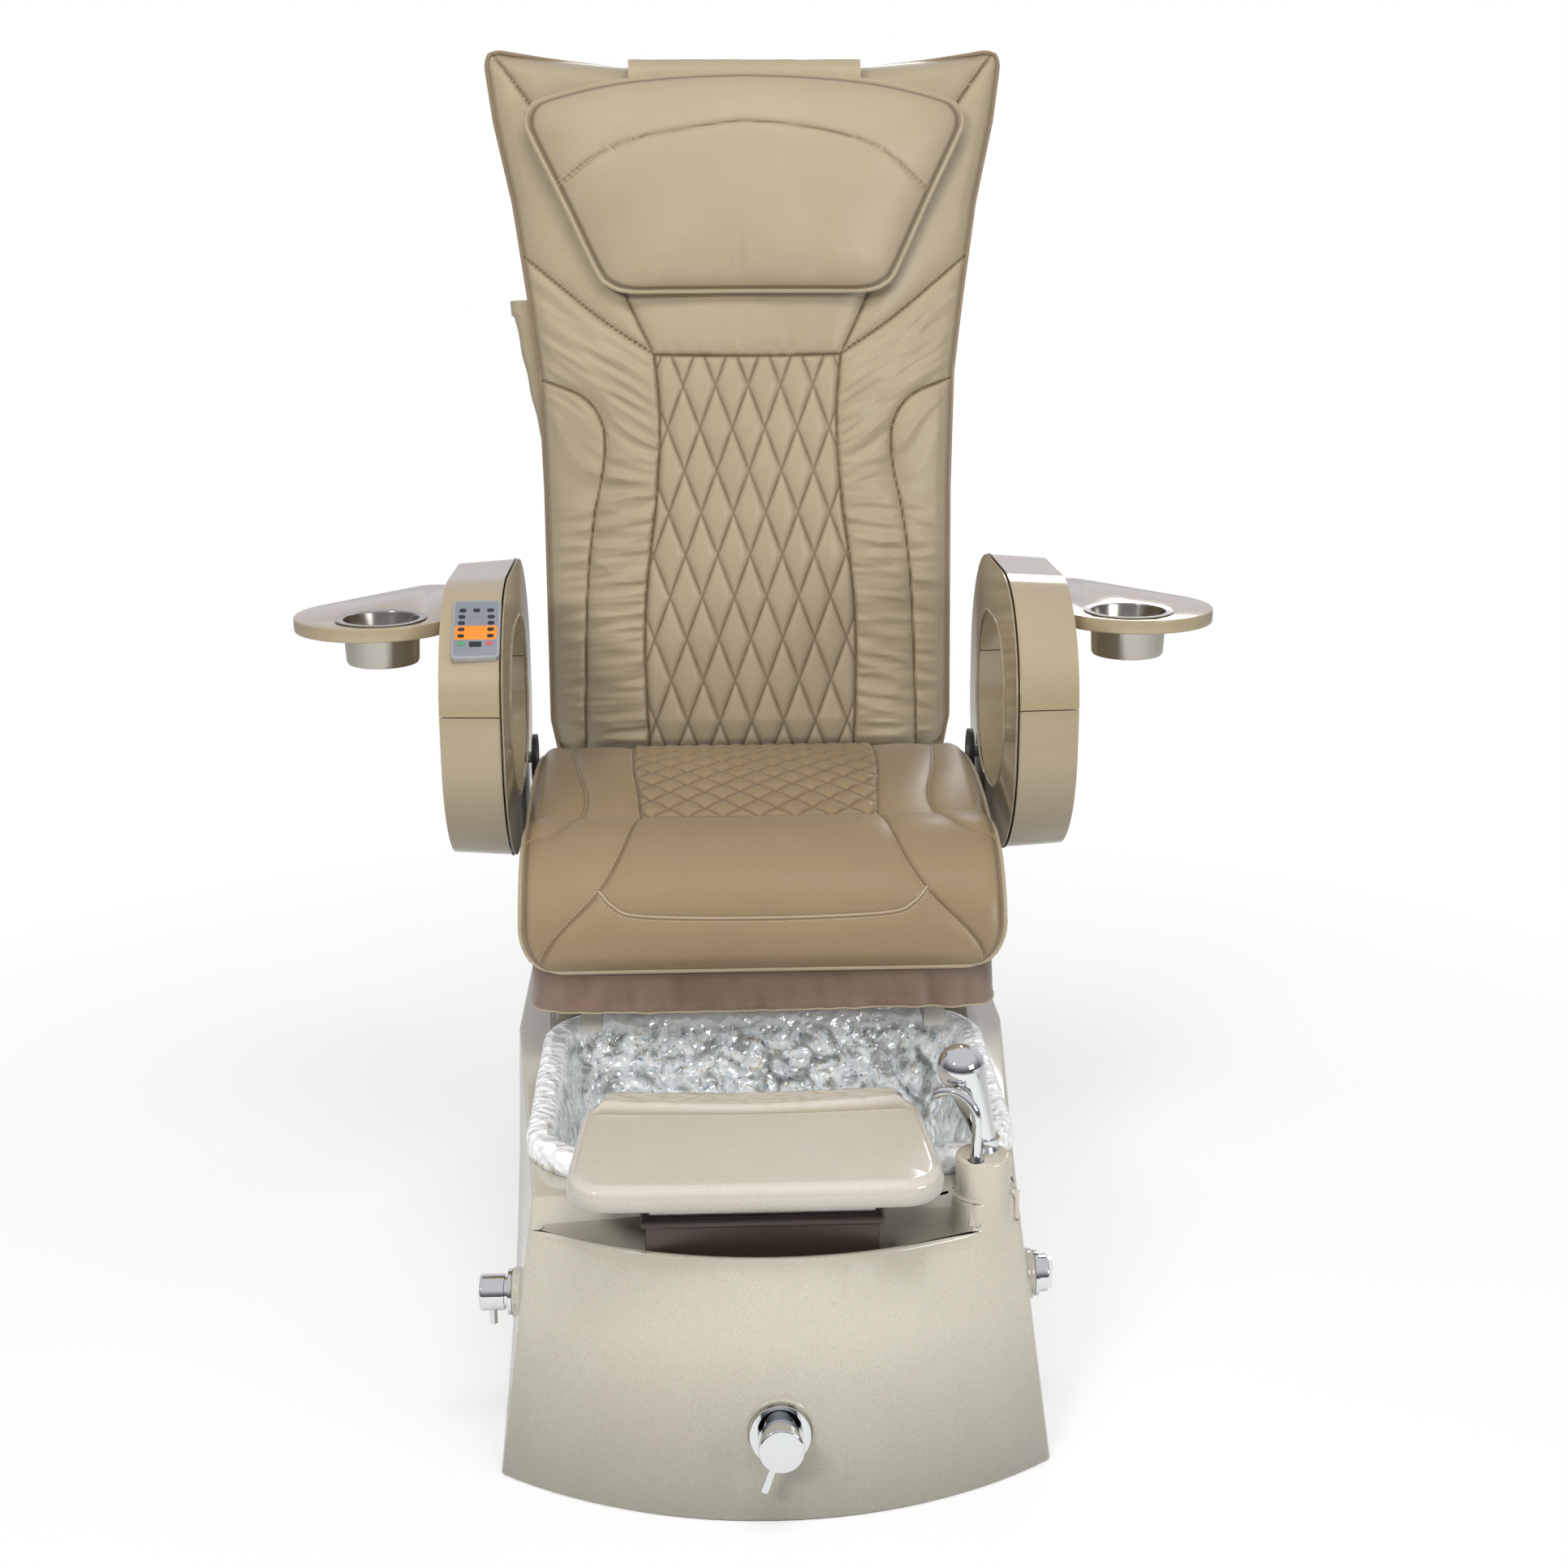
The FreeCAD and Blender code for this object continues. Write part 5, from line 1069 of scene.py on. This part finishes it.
def loop_points(y0, y1, z0, z1, radius, bend=24, side=10):
    """Rounded rectangle as an ordered loop; equal counts pair an outer loop with an inner one."""
    centres = ((y1 - radius, z0 + radius, -90), (y1 - radius, z1 - radius, 0),
               (y0 + radius, z1 - radius, 90), (y0 + radius, z0 + radius, 180))
    corners = []
    for y, z, start in centres:
        turn = np.radians(start + np.linspace(0, 90, bend))
        corners.append(np.column_stack([y + radius * np.cos(turn), z + radius * np.sin(turn)]))
    points = []
    for k, corner in enumerate(corners):
        following = corners[(k + 1) % 4][0]
        share = np.linspace(0, 1, side + 2)[1:-1, None]
        points += [corner, corner[-1] * (1 - share) + following * share]
    return np.vstack(points)


def hoop(outer, inner, x0, x1, outer_round, inner_round):
    """Points and faces of a ring between two loops, with rounded edges; rounds are for x1 and x0."""
    section = []
    for along, x, r, start in ((0, x0, inner_round, 180), (0, x1, outer_round, 90),
                               (1, x1, outer_round, 0), (1, x0, inner_round, -90)):
        for turn in np.linspace(0, -90, 7):
            angle = math.radians(start + turn)
            shift = r if along == 0 else -r
            section.append((along, shift + r * math.cos(angle),
                            x + (r if x == x0 else -r) + r * math.sin(angle)))
    span = inner - outer
    size = np.hypot(*span.T)[:, None]
    unit = span / size
    points = []
    for along, shift, x in section:
        place = outer + unit * (along * size + shift)
        points.append(np.column_stack([np.full(len(outer), x), place]))
    rows = len(section)
    return np.vstack(points), grid(rows, len(outer), True, True)


def cut_piece(piece, height, keep_above):
    """Keeps the part above or below a level and closes the cut."""
    work = bmesh.new()
    work.from_mesh(piece.data)
    cut = bmesh.ops.bisect_plane(work, geom=work.verts[:] + work.edges[:] + work.faces[:],
                                 plane_co=(0, 0, height * 0.001), plane_no=(0, 0, 1),
                                 clear_outer=not keep_above, clear_inner=keep_above)
    edges = [e for e in cut["geom_cut"] if isinstance(e, bmesh.types.BMEdge)]
    bmesh.ops.edgeloop_fill(work, edges=edges)
    bmesh.ops.recalc_face_normals(work, faces=work.faces)
    work.to_mesh(piece.data)
    work.free()


def armrest(side, name):
    """Glossy hollow ring in two halves with a seam, and a trim ring on the seat side."""
    outer = loop_points(*ARM_OUTER)
    inner = loop_points(*ARM_EYE)
    mirror = np.array([side, 1, 1])
    for part, above in (("upper", True), ("lower", False)):
        points, faces = hoop(outer, inner, ARM_SIDES[0], ARM_SIDES[1], 6.5, 1.5)
        piece = bpy.data.objects.new("armrest_" + part + "_" + name, bpy.data.meshes.new(name))
        piece.data.from_pydata((points * mirror * 0.001).tolist(), [], faces)
        weld(piece)
        cut_piece(piece, ARM_SPLIT + (0.7 if above else -0.7), above)
        dress(piece, "arm_gloss", "arm_" + name, 50)
        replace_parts(piece, "arm_" + part + "_shell_" + name)
    ring_outer = loop_points(ARM_OUTER[0] + 1, ARM_OUTER[1] - 1, ARM_OUTER[2] + 1, ARM_OUTER[3] - 1,
                             ARM_OUTER[4] - 1)
    points, faces = hoop(ring_outer, inner, ARM_TRIM[0], ARM_TRIM[1], 1.2, 1.6)
    trim = build("armrest_trim_" + name, points * mirror, faces, "arm_gloss", "arm_" + name)
    weld(trim)
    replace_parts(trim, "arm_inner_ring_" + name)


EDGE_ANGLE = 35.0


def softened(node, name, width, material, body, clamp=True):
    """A copy of a node with its triangles merged and its edges rounded."""
    piece = bpy.data.objects.new(name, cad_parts[node].data.copy())
    bpy.context.scene.collection.objects.link(piece)
    work = bmesh.new()
    work.from_mesh(piece.data)
    bmesh.ops.remove_doubles(work, verts=work.verts, dist=2e-5)
    bmesh.ops.dissolve_limit(work, angle_limit=math.radians(1.0), verts=work.verts, edges=work.edges)
    work.to_mesh(piece.data)
    work.free()
    bevel = piece.modifiers.new("edges", "BEVEL")
    bevel.width = width
    bevel.segments = 3
    bevel.use_clamp_overlap = clamp
    bevel.limit_method = "ANGLE"
    bevel.angle_limit = math.radians(EDGE_ANGLE)
    baked(piece)
    dress(piece, material, body, EDGE_ANGLE)
    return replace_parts(piece, node)


# Section of a steel finger bowl as (radius, height) from the top of its flange
BOWL_SECTION = (
    (0, -54.5), (38, -54.6), (41.5, -53.4), (43.2, -50), (45.3, -4), (46.0, -1.6), (47.6, -0.9),
    (53.4, -0.9), (54.4, -0.2), (53.8, 0.5), (47, 0.4), (45.2, -0.2), (44.2, -2.4), (42.2, -49),
    (40.6, -52), (37, -53.2), (0, -53.2))


def trays():
    """The two trays and their finger bowls."""
    for name in ("right", "left"):
        softened("tray_" + name, "manicure_tray_" + name, 0.0045, "arm_gloss", "tray_" + name)
        low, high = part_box("tray_bowl_" + name)
        centre = (low + high) * 500
        place = (centre.x, centre.y, high.z * 1000)
        turned("finger_bowl_" + name, BOWL_SECTION, place, "steel", "tray_bowl_" + name,
               "tray_bowl_" + name)


def turned(name, profile, centre, material, body, node, count=64):
    """A shape turned about an upright axis from (radius, height) pairs, in a node's place."""
    rings = []
    for radius, height in profile:
        turn = np.linspace(0, 2 * math.pi, count, endpoint=False)
        rings.append(np.column_stack([centre[0] + radius * np.cos(turn), centre[1] + radius * np.sin(turn),
                                      np.full(count, centre[2] + height)]))
    piece = build(name, np.vstack(rings), grid(len(rings), count, loop_columns=True), material, body)
    weld(piece)
    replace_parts(piece, node)


# Remote panel on the left armrest

def remote_place(points):
    x, y, z = np.asarray(points, float).T
    tilt = math.radians(45)
    reach = math.radians(135)
    y0 = REMOTE_MIDDLE[1] + REMOTE_REACH * math.cos(reach)
    z0 = REMOTE_MIDDLE[2] + REMOTE_REACH * math.sin(reach)
    return np.column_stack([x + REMOTE_MIDDLE[0], y0 + y * math.cos(tilt) - z * math.sin(tilt),
                            z0 + y * math.sin(tilt) + z * math.cos(tilt)])


def pad_shape(x, y, half_x, half_y, radius, low, high, soft):
    """Points and faces of a rounded flat block with a softened top edge."""
    rings = []
    for inset, z in ((0, low), (0, high - soft), (soft * 0.3, high - soft * 0.3), (soft, high)):
        loop = loop_points(x - half_x + inset, x + half_x - inset, y - half_y + inset, y + half_y - inset,
                           max(radius - inset, 0.3), 7, 1)
        rings.append(np.column_stack([loop, np.full(len(loop), z)]))
    count = len(rings[0])
    faces = grid(4, count, loop_columns=True)
    faces += [tuple(range(count)), tuple(range(3 * count, 4 * count))]
    return np.vstack(rings), faces


def remote_part(name, shapes, material):
    points = []
    faces = []
    for shape in shapes:
        made, quads = pad_shape(*shape)
        faces += [tuple(k + sum(map(len, points)) for k in quad) for quad in quads]
        points.append(made)
    piece = build(name, remote_place(np.vstack(points)), faces, material, "arm_left")
    weld(piece)
    return piece


# Middles of the small keys on the remote's face, from its centre
KEY_SPOTS = ((-16, 25), (0, 25), (16, 25), (-17, 16), (17, 16), (-17, 7.5), (17, 7.5), (-17, -1.5),
             (17, -1.5), (-17, -10.5), (17, -10.5))


def remote():
    """Silver case, grey face with an orange zone, and its keys; each block as pad_shape takes it."""
    case = remote_part("remote_case", [(0, 0, 28, 40, 5, -12, 0.3, 1.2)], "remote_silver")
    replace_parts(case, "remote_housing")
    remote_part("remote_face", [(0, 0, 25, 37, 3, 0, 0.6, 0.2)], "remote_panel")
    remote_part("remote_warm_zone", [(0, -6, 24.4, 9.5, 1.5, 0.4, 0.85, 0.1)], "remote_orange")
    keys = [(x, y, 4.0, 2.4, 2.3, 0.5, 1.5, 0.5) for x, y in KEY_SPOTS]
    keys.append((0, -22, 7.0, 3.6, 1.4, 0.5, 1.4, 0.4))
    black = remote_part("remote_buttons", keys, "remote_key")
    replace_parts(black, "remote_keys")
    for name, x, material in (("start", -16, "remote_green"), ("stop", 16, "remote_red")):
        remote_part("remote_" + name + "_button", [(x, -21, 4.2, 2.8, 2.6, 0.5, 1.5, 0.5)], material)
    lines = [(0, y, 8.0, 0.25, 0.2, 0.5, 0.75, 0.05) for y in (16, 7.5, -1.5, -10.5)]
    remote_part("remote_printed_lines", lines, "remote_silver")


# Foot bath: half its width, its front and rear, its inner and outer floor, and its drain hole
BATH_HALF = 264
BATH_ENDS = (-400, 30)
BATH_FLOOR = 121.0
BATH_UNDER = 112.0
BATH_DRAIN = (-205, 24.3)


def bath_loop(inset, radius):
    return loop_points(-BATH_HALF + inset, BATH_HALF - inset, BATH_ENDS[0] + inset, BATH_ENDS[1] - inset,
                       radius, 60, 60)


def crystal_bath():
    """Moulded basin: a bubbly rim on the deck, hammered walls, and a hole for the drain."""
    count = len(bath_loop(0, 90))
    turn = np.linspace(0, 2 * math.pi, count, endpoint=False) - math.pi / 2
    drain_y, drain_r = BATH_DRAIN
    drain = np.column_stack([drain_r * np.cos(turn), drain_y + drain_r * np.sin(turn)])
    stations = [(0.4, 313, 90), (0, 320, 90), (0.3, 328, 90), (2.5, 334, 88), (7, 337.4, 84), (14, 338, 80),
                (21, 337.6, 74), (27, 335.2, 68), (30.2, 330, 62), (31.5, 322, 58)]
    stations += [(31.5 + 41.5 * t, 322 - 197 * t, 58 - 6 * t) for t in np.linspace(0, 1, 34)[1:]]
    stations += [(75.5, 122.4, 50), (80, BATH_FLOOR, 46)]
    rings = [(bath_loop(i, r), z, "in") for i, z, r in stations]
    floor = rings[-1][0]
    rings += [(floor * (1 - t) + drain * t, BATH_FLOOR, "in") for t in np.linspace(0, 1, 20)[1:]]
    outer_floor = bath_loop(66, 56)
    rings += [(drain * (1 - t) + outer_floor * t, BATH_UNDER, "out") for t in np.linspace(0, 1, 8)]
    rings += [(bath_loop(64 - 42 * t, 57 + 3 * t), 114 + 198.5 * t, "out") for t in np.linspace(0, 1, 8)]
    points = []
    for loop, z, where in rings:
        level = np.full(count, z)
        if where == "in":
            coarse = ripple(loop[:, 0] / 15, (loop[:, 1] + level * 1.3) / 15, 2.5)
            fine = ripple(loop[:, 0] / 6.5, (loop[:, 1] - level) / 6.5, 6.5)
            strength = 2.4 if z > 321 else 1.1
            if z < BATH_FLOOR + 0.5:
                strength = 0.35
            bumps = strength * (coarse + 0.6 * fine)
            centre = np.array([0.0, -185.0])
            away = loop - centre
            away = away / np.maximum(np.hypot(*away.T), 1.0)[:, None]
            high = np.clip(z - 330, 0, 8) / 8
            loop = loop + away * (bumps * (1 - high) * (1 if z < 312 else -0.4))[:, None]
            level = level + bumps * 0.6 * high - (0.8 if z > 336 else 0)
        points.append(np.column_stack([loop, level]))
    piece = build("crystal_bath", np.vstack(points), grid(len(points), count, True, True), "crystal", "base",
                  None)
    weld(piece)
    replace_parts(piece, "tub_bowl")


# Footrest pad: its middle, half depth, half width, upper face, corner and edge radii
PAD_MIDDLE = (-22.0, -429.5)
PAD_DEEP = 107.5
PAD_WIDE = 184.0
PAD_TOP = 374.5
PAD_CORNER = 44.0
PAD_ROLL = 12.0


def footrest_pad():
    """Gelcoat pad with rolled edges and a raised heel lip that dips in the middle."""
    # The grid is closer together near the rim
    from_rim = np.concatenate([np.linspace(0, 0.12, 14), np.linspace(0.12, 1.0, 60)[1:]])
    u = np.unique(np.round(np.concatenate([from_rim - 1, 1 - from_rim]), 6))
    across, up = np.meshgrid(u, u)
    across, up = across.ravel(), up.ravel()
    half = PAD_WIDE - 7 * up
    x, y = rounded_corner(half * across, np.abs(PAD_DEEP * up), half, PAD_DEEP, PAD_CORNER)
    x = x + PAD_MIDDLE[0]
    y = y * np.sign(up) + PAD_MIDDLE[1] - 4 * (1 - across ** 2) * (up < 0) * -up
    edge_x = (1 - np.abs(across)) * half
    edge_y = (1 - np.abs(up)) * PAD_DEEP
    near = np.minimum(np.clip(edge_x / PAD_ROLL, 0, 1), np.clip(edge_y / PAD_ROLL, 0, 1))
    drop = PAD_ROLL * (1 - np.sqrt(np.clip(1 - (1 - near) ** 2, 0, 1)))
    top = PAD_TOP - 3.0 * np.clip(-up, 0, 1) ** 2
    lip_line = -357 - 9 * np.cos(across * math.pi / 2)
    ends = step_up(1 - np.abs(across), 0.05, 0.12)
    lip = step_up(y, lip_line - 5, lip_line + 5) * (5.5 + 5 * np.abs(across) ** 1.6) * ends
    groove = 2.0 * np.exp(-((y - lip_line + 4) / 3.0) ** 2) * ends
    rough = ripple(x / 7, y / 5, 1.1) * 0.5 * step_up(y, lip_line, lip_line + 6)
    z = top + lip - groove + rough - drop
    size = len(u)
    points = np.column_stack([x, y, z])
    rim = outline_indices(size, size)
    faces = grid(size, size)
    start = size * size
    previous = rim
    centre = np.array(PAD_MIDDLE)
    for inset, level in ((0.0, 352.0), (0.4, 349.0), (2.0, 346.6), (5.0, 345.3), (14.0, 345.0)):
        ring = points[rim].copy()
        away = ring[:, :2] - centre
        ring[:, :2] -= away / np.hypot(*away.T)[:, None] * inset
        ring[:, 2] = level
        points = np.vstack([points, ring])
        current = [start + k for k in range(len(rim))]
        faces += [(previous[(k + 1) % len(rim)], previous[k], current[k], current[(k + 1) % len(rim)])
                  for k in range(len(rim))]
        previous = current
        start += len(rim)
    faces.append(tuple(previous))
    # Painted shade in the groove before the heel lip, and patches of worn, rough colour on the lip.
    wear_and_groove_shade = np.clip(groove / 2 + 0.5 * ripple(x / 12, y / 5, 3.4) * step_up(y, lip_line, lip_line + 6), 0, 1)
    piece = build("footrest_cushion", points, faces, "gelcoat_pale", "footrest", 50,
                  wear_and_groove_shade * 0.8)
    weld(piece)
    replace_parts(piece, "footrest_pad")


def base_mouldings(sizes):
    softened("base_shell", "base_moulding", sizes.edge_round, "gelcoat", "base", clamp=False)
    softened("footrest_socket", "footrest_sleeve", 0.0015, "brown_plastic", "base")
    softened("back_shell", "back_cover", 0.008, "arm_gloss", "back")


NODE_FINISH = {
    "base_pan": "dark_plastic", "rear_hatch": "gelcoat", "hatch_screws": "zinc", "drain_flange": "chrome",
    "drain_stopper": "chrome", "drain_pipe": "white_plastic", "water_inlets": "brass_fitting",
    "power_inlet": "dark_plastic", "control_box": "dark_plastic", "jet_cover": "chrome",
    "jet_pump": "dark_plastic", "jet_impeller": "white_plastic", "footrest_column": "steel",
    "faucet_ferrules": "chrome", "hand_shower": "chrome", "spout": "chrome", "front_mixer_body": "chrome",
    "front_mixer_knob": "chrome", "side_mixer_body": "chrome", "side_mixer_knob": "chrome",
    "drain_knob_bezel": "chrome", "drain_knob": "chrome", "fixed_rails": "zinc",
    "moving_rails": "ivory_steel", "seat_actuator": "black_steel", "seat_actuator_rod": "chrome",
    "seat_frame": "black_steel", "back_hinge_pins": "zinc", "arm_pivot_pins": "zinc",
    "recline_motor": "dark_plastic", "seat_board": "plywood", "tray_bracket_right": "steel",
    "tray_bracket_left": "steel", "back_frame": "black_steel", "massage_rails": "zinc",
    "massage_carriage": "dark_plastic", "massage_rollers": "roller_rubber",
}


def dress_nodes():
    """Finishes of the nodes that keep their packed shape."""
    for node, material in NODE_FINISH.items():
        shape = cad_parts[node]
        shape.data.materials.clear()
        shape.data.materials.append(finishes[material])


# Stage: each lamp's place, width, power, and whether polished parts mirror it
LAMPS = {
    "key_lamp": ((-1.3, -3.0, 2.5), 0.9, 70.0, False),
    "fill_lamp": ((2.4, -2.4, 1.5), 1.3, 26.0, True),
    "top_lamp": ((0.2, -1.5, 3.1), 1.3, 46.0, False),
    "window_lamp": ((-1.5, -1.9, 2.1), 0.3, 3.0, True),
    "rear_lamp": ((0.6, 3.0, 2.4), 1.8, 36.0, True),
}
LAMP_AIM = (0.0, 0.1, 0.7)

# Camera: place in metres, turn in degrees (down, right, clockwise), lens and sensor
CAMERA_PLACE = (-0.071, -2.402, 1.298)
CAMERA_TURN = (15.55, 2.36, 0.18)
CAMERA_LENS = 48.17
CAMERA_SENSOR = 36.0


def stage():
    """Pale floor, soft studio lamps and the camera."""
    floor_mesh = bpy.data.meshes.new("studio_floor")
    reach = 14.0
    floor_mesh.from_pydata([(-reach, -reach, -0.0005), (reach, -reach, -0.0005), (reach, reach, -0.0005),
                            (-reach, reach, -0.0005)], [], [(0, 1, 2, 3)])
    floor = bpy.data.objects.new("studio_floor", floor_mesh)
    bpy.context.scene.collection.objects.link(floor)
    material, tree, shader, place = finish("pale_floor", {"Roughness": 0.8, "Base Color": linear("#F2F2F0")})
    rays = add(tree, "ShaderNodeLightPath")
    far = add(tree, "ShaderNodeVectorMath", {0: place}, operation="LENGTH")
    clear = add(tree, "ShaderNodeMapRange", {"Value": far.outputs["Value"], "From Min": 0.7, "From Max": 1.9,
                                             "To Min": 0.62, "To Max": 1.0})
    part = add(tree, "ShaderNodeMath", {0: rays.outputs["Is Camera Ray"], 1: clear.outputs[0]},
               operation="MULTIPLY")
    glow = add(tree, "ShaderNodeEmission", {"Color": (1, 1, 1, 1), "Strength": 1.0})
    mixed = add(tree, "ShaderNodeMixShader", {0: part.outputs[0], 1: shader.outputs[0], 2: glow.outputs[0]})
    tree.links.new(mixed.outputs[0], tree.nodes["Material Output"].inputs["Surface"])
    floor_mesh.materials.append(material)
    world = bpy.data.worlds.new("studio")
    bpy.context.scene.world = world
    world.use_nodes = True
    air = world.node_tree
    air.nodes.clear()
    rays = add(air, "ShaderNodeLightPath")
    clear = add(air, "ShaderNodeMath", {0: rays.outputs["Is Camera Ray"],
                                        1: rays.outputs["Is Transmission Ray"]}, operation="MAXIMUM")
    # Polished parts mirror a room with a pale ceiling, rear and floor, and dim walls in front
    toward = add(air, "ShaderNodeSeparateXYZ", {0: add(air, "ShaderNodeTexCoord").outputs["Generated"]})
    height = add(air, "ShaderNodeMapRange", {"Value": toward.outputs[2], "From Min": -1.0, "From Max": 1.0})
    room = add(air, "ShaderNodeValToRGB", {"Fac": height.outputs[0]},
               [(0.0, linear("#D8D6D2")), (0.44, linear("#C9C7C3")), (0.5, linear("#4A4A4B")),
                (0.62, linear("#7E7F82")), (0.8, linear("#DAD9DC"))])
    rear = add(air, "ShaderNodeMapRange", {"Value": toward.outputs[1], "From Min": 0.1, "From Max": 0.7})
    backed = add(air, "ShaderNodeMix", {"Factor": rear.outputs[0], 6: room.outputs[0],
                                        7: linear("#DAD8E0")}, data_type="RGBA")
    tint = add(air, "ShaderNodeMix", {"Factor": rays.outputs["Is Glossy Ray"], 6: linear("#F3F4F6"),
                                      7: backed.outputs[2]}, data_type="RGBA")
    level = add(air, "ShaderNodeMapRange", {"Value": rays.outputs["Is Glossy Ray"], "To Min": 0.3,
                                            "To Max": 1.0})
    soft = add(air, "ShaderNodeBackground", {"Color": tint.outputs[2], "Strength": level.outputs[0]})
    white = add(air, "ShaderNodeBackground", {"Color": (1, 1, 1, 1), "Strength": 1.0})
    mixed = add(air, "ShaderNodeMixShader", {0: clear.outputs[0], 1: soft.outputs[0], 2: white.outputs[0]})
    add(air, "ShaderNodeOutputWorld", {"Surface": mixed.outputs[0]})
    for name, (place, size, power, mirrored) in LAMPS.items():
        light = bpy.data.lights.new(name, "AREA")
        light.shape = "RECTANGLE"
        light.size = size
        light.size_y = size * 0.6
        light.energy = power
        lamp = bpy.data.objects.new(name, light)
        lamp.location = place
        lamp.visible_glossy = mirrored
        lamp.rotation_euler = (Vector(LAMP_AIM) - Vector(place)).to_track_quat("-Z", "Y").to_euler()
        bpy.context.scene.collection.objects.link(lamp)
    view = bpy.data.cameras.new("photo_camera")
    view.lens = CAMERA_LENS
    view.sensor_width = CAMERA_SENSOR
    camera = bpy.data.objects.new("photo_camera", view)
    camera.location = CAMERA_PLACE
    pitch, yaw, roll = (math.radians(angle) for angle in CAMERA_TURN)
    ahead = Vector((math.sin(yaw) * math.cos(pitch), math.cos(yaw) * math.cos(pitch), -math.sin(pitch)))
    camera.rotation_mode = "QUATERNION"
    camera.rotation_quaternion = (Quaternion(ahead, roll) @ ahead.to_track_quat("-Z", "Y"))
    bpy.context.scene.collection.objects.link(camera)
    bpy.context.scene.camera = camera
    bpy.context.scene.view_settings.view_transform = "Standard"


# Operators

def operator(name, label, text, work):
    """One operator class for a piece or a group of like pieces."""

    def execute(self, context):
        work(context.scene)
        return {"FINISHED"}

    return type("SPACHAIR_OT_" + name, (bpy.types.Operator,), {
        "__doc__": text, "bl_idname": "spachair." + name, "bl_label": label, "execute": execute})


STEPS = (
    ("stage", "Stage", "Sets the floor, the lamps and the camera", lambda scene: stage()),
    ("finishes", "Finishes", "Makes the materials", lambda scene: make_finishes(scene.spa_chair_colours)),
    ("nodes", "Frame finishes", "Dresses the nodes that keep their shape", lambda scene: dress_nodes()),
    ("back", "Back", "Makes the back cushion and its trim",
     lambda scene: (back_cushion(scene.spa_chair_sizes), back_trim(scene.spa_chair_sizes))),
    ("pillow", "Head pillow", "Makes the head pillow and its strap",
     lambda scene: (head_pillow(scene.spa_chair_sizes), head_strap())),
    ("pocket", "Side pocket", "Makes the pouch on the side of the back", lambda scene: side_pocket()),
    ("seat", "Seat", "Makes the seat cushion and its trim",
     lambda scene: (seat_cushion(scene.spa_chair_sizes), seat_trim(scene.spa_chair_sizes))),
    ("skirt", "Seat valance", "Makes the valance below the seat", lambda scene: seat_skirt()),
    ("armrests", "Armrests", "Makes the two armrests",
     lambda scene: (armrest(1, "right"), armrest(-1, "left"))),
    ("remote", "Remote panel", "Makes the remote panel on the armrest", lambda scene: remote()),
    ("trays", "Trays", "Makes the trays and their steel bowls", lambda scene: trays()),
    ("bath", "Foot bath", "Makes the crystal basin", lambda scene: crystal_bath()),
    ("footrest", "Footrest", "Makes the footrest pad", lambda scene: footrest_pad()),
    ("base", "Base", "Makes the base mouldings", lambda scene: base_mouldings(scene.spa_chair_sizes)),
)
OPERATORS = [operator(*step) for step in STEPS]


class SPACHAIR_PT_panel(bpy.types.Panel):
    """Sizes, colours and steps of the spa chair."""
    bl_idname = "SPACHAIR_PT_panel"
    bl_label = "Spa Chair"
    bl_space_type = "VIEW_3D"
    bl_region_type = "UI"
    bl_category = "Spa Chair"

    def draw(self, context):
        for group in (context.scene.spa_chair_sizes, context.scene.spa_chair_colours):
            for name in group.bl_rna.properties.keys():
                if name not in ("rna_type", "name"):
                    self.layout.prop(group, name)
        for step in STEPS:
            self.layout.operator("spachair." + step[0])


def register():
    for kind in (SpaChairSizes, SpaChairColours, *OPERATORS, SPACHAIR_PT_panel):
        bpy.utils.register_class(kind)
    bpy.types.Scene.spa_chair_sizes = bpy.props.PointerProperty(type=SpaChairSizes)
    bpy.types.Scene.spa_chair_colours = bpy.props.PointerProperty(type=SpaChairColours)


def unregister():
    del bpy.types.Scene.spa_chair_sizes
    del bpy.types.Scene.spa_chair_colours
    for kind in (SPACHAIR_PT_panel, *OPERATORS, SpaChairColours, SpaChairSizes):
        bpy.utils.unregister_class(kind)


def main():
    register()
    for step in STEPS:
        getattr(bpy.ops.spachair, step[0])()


if __name__ == "__main__":
    main()
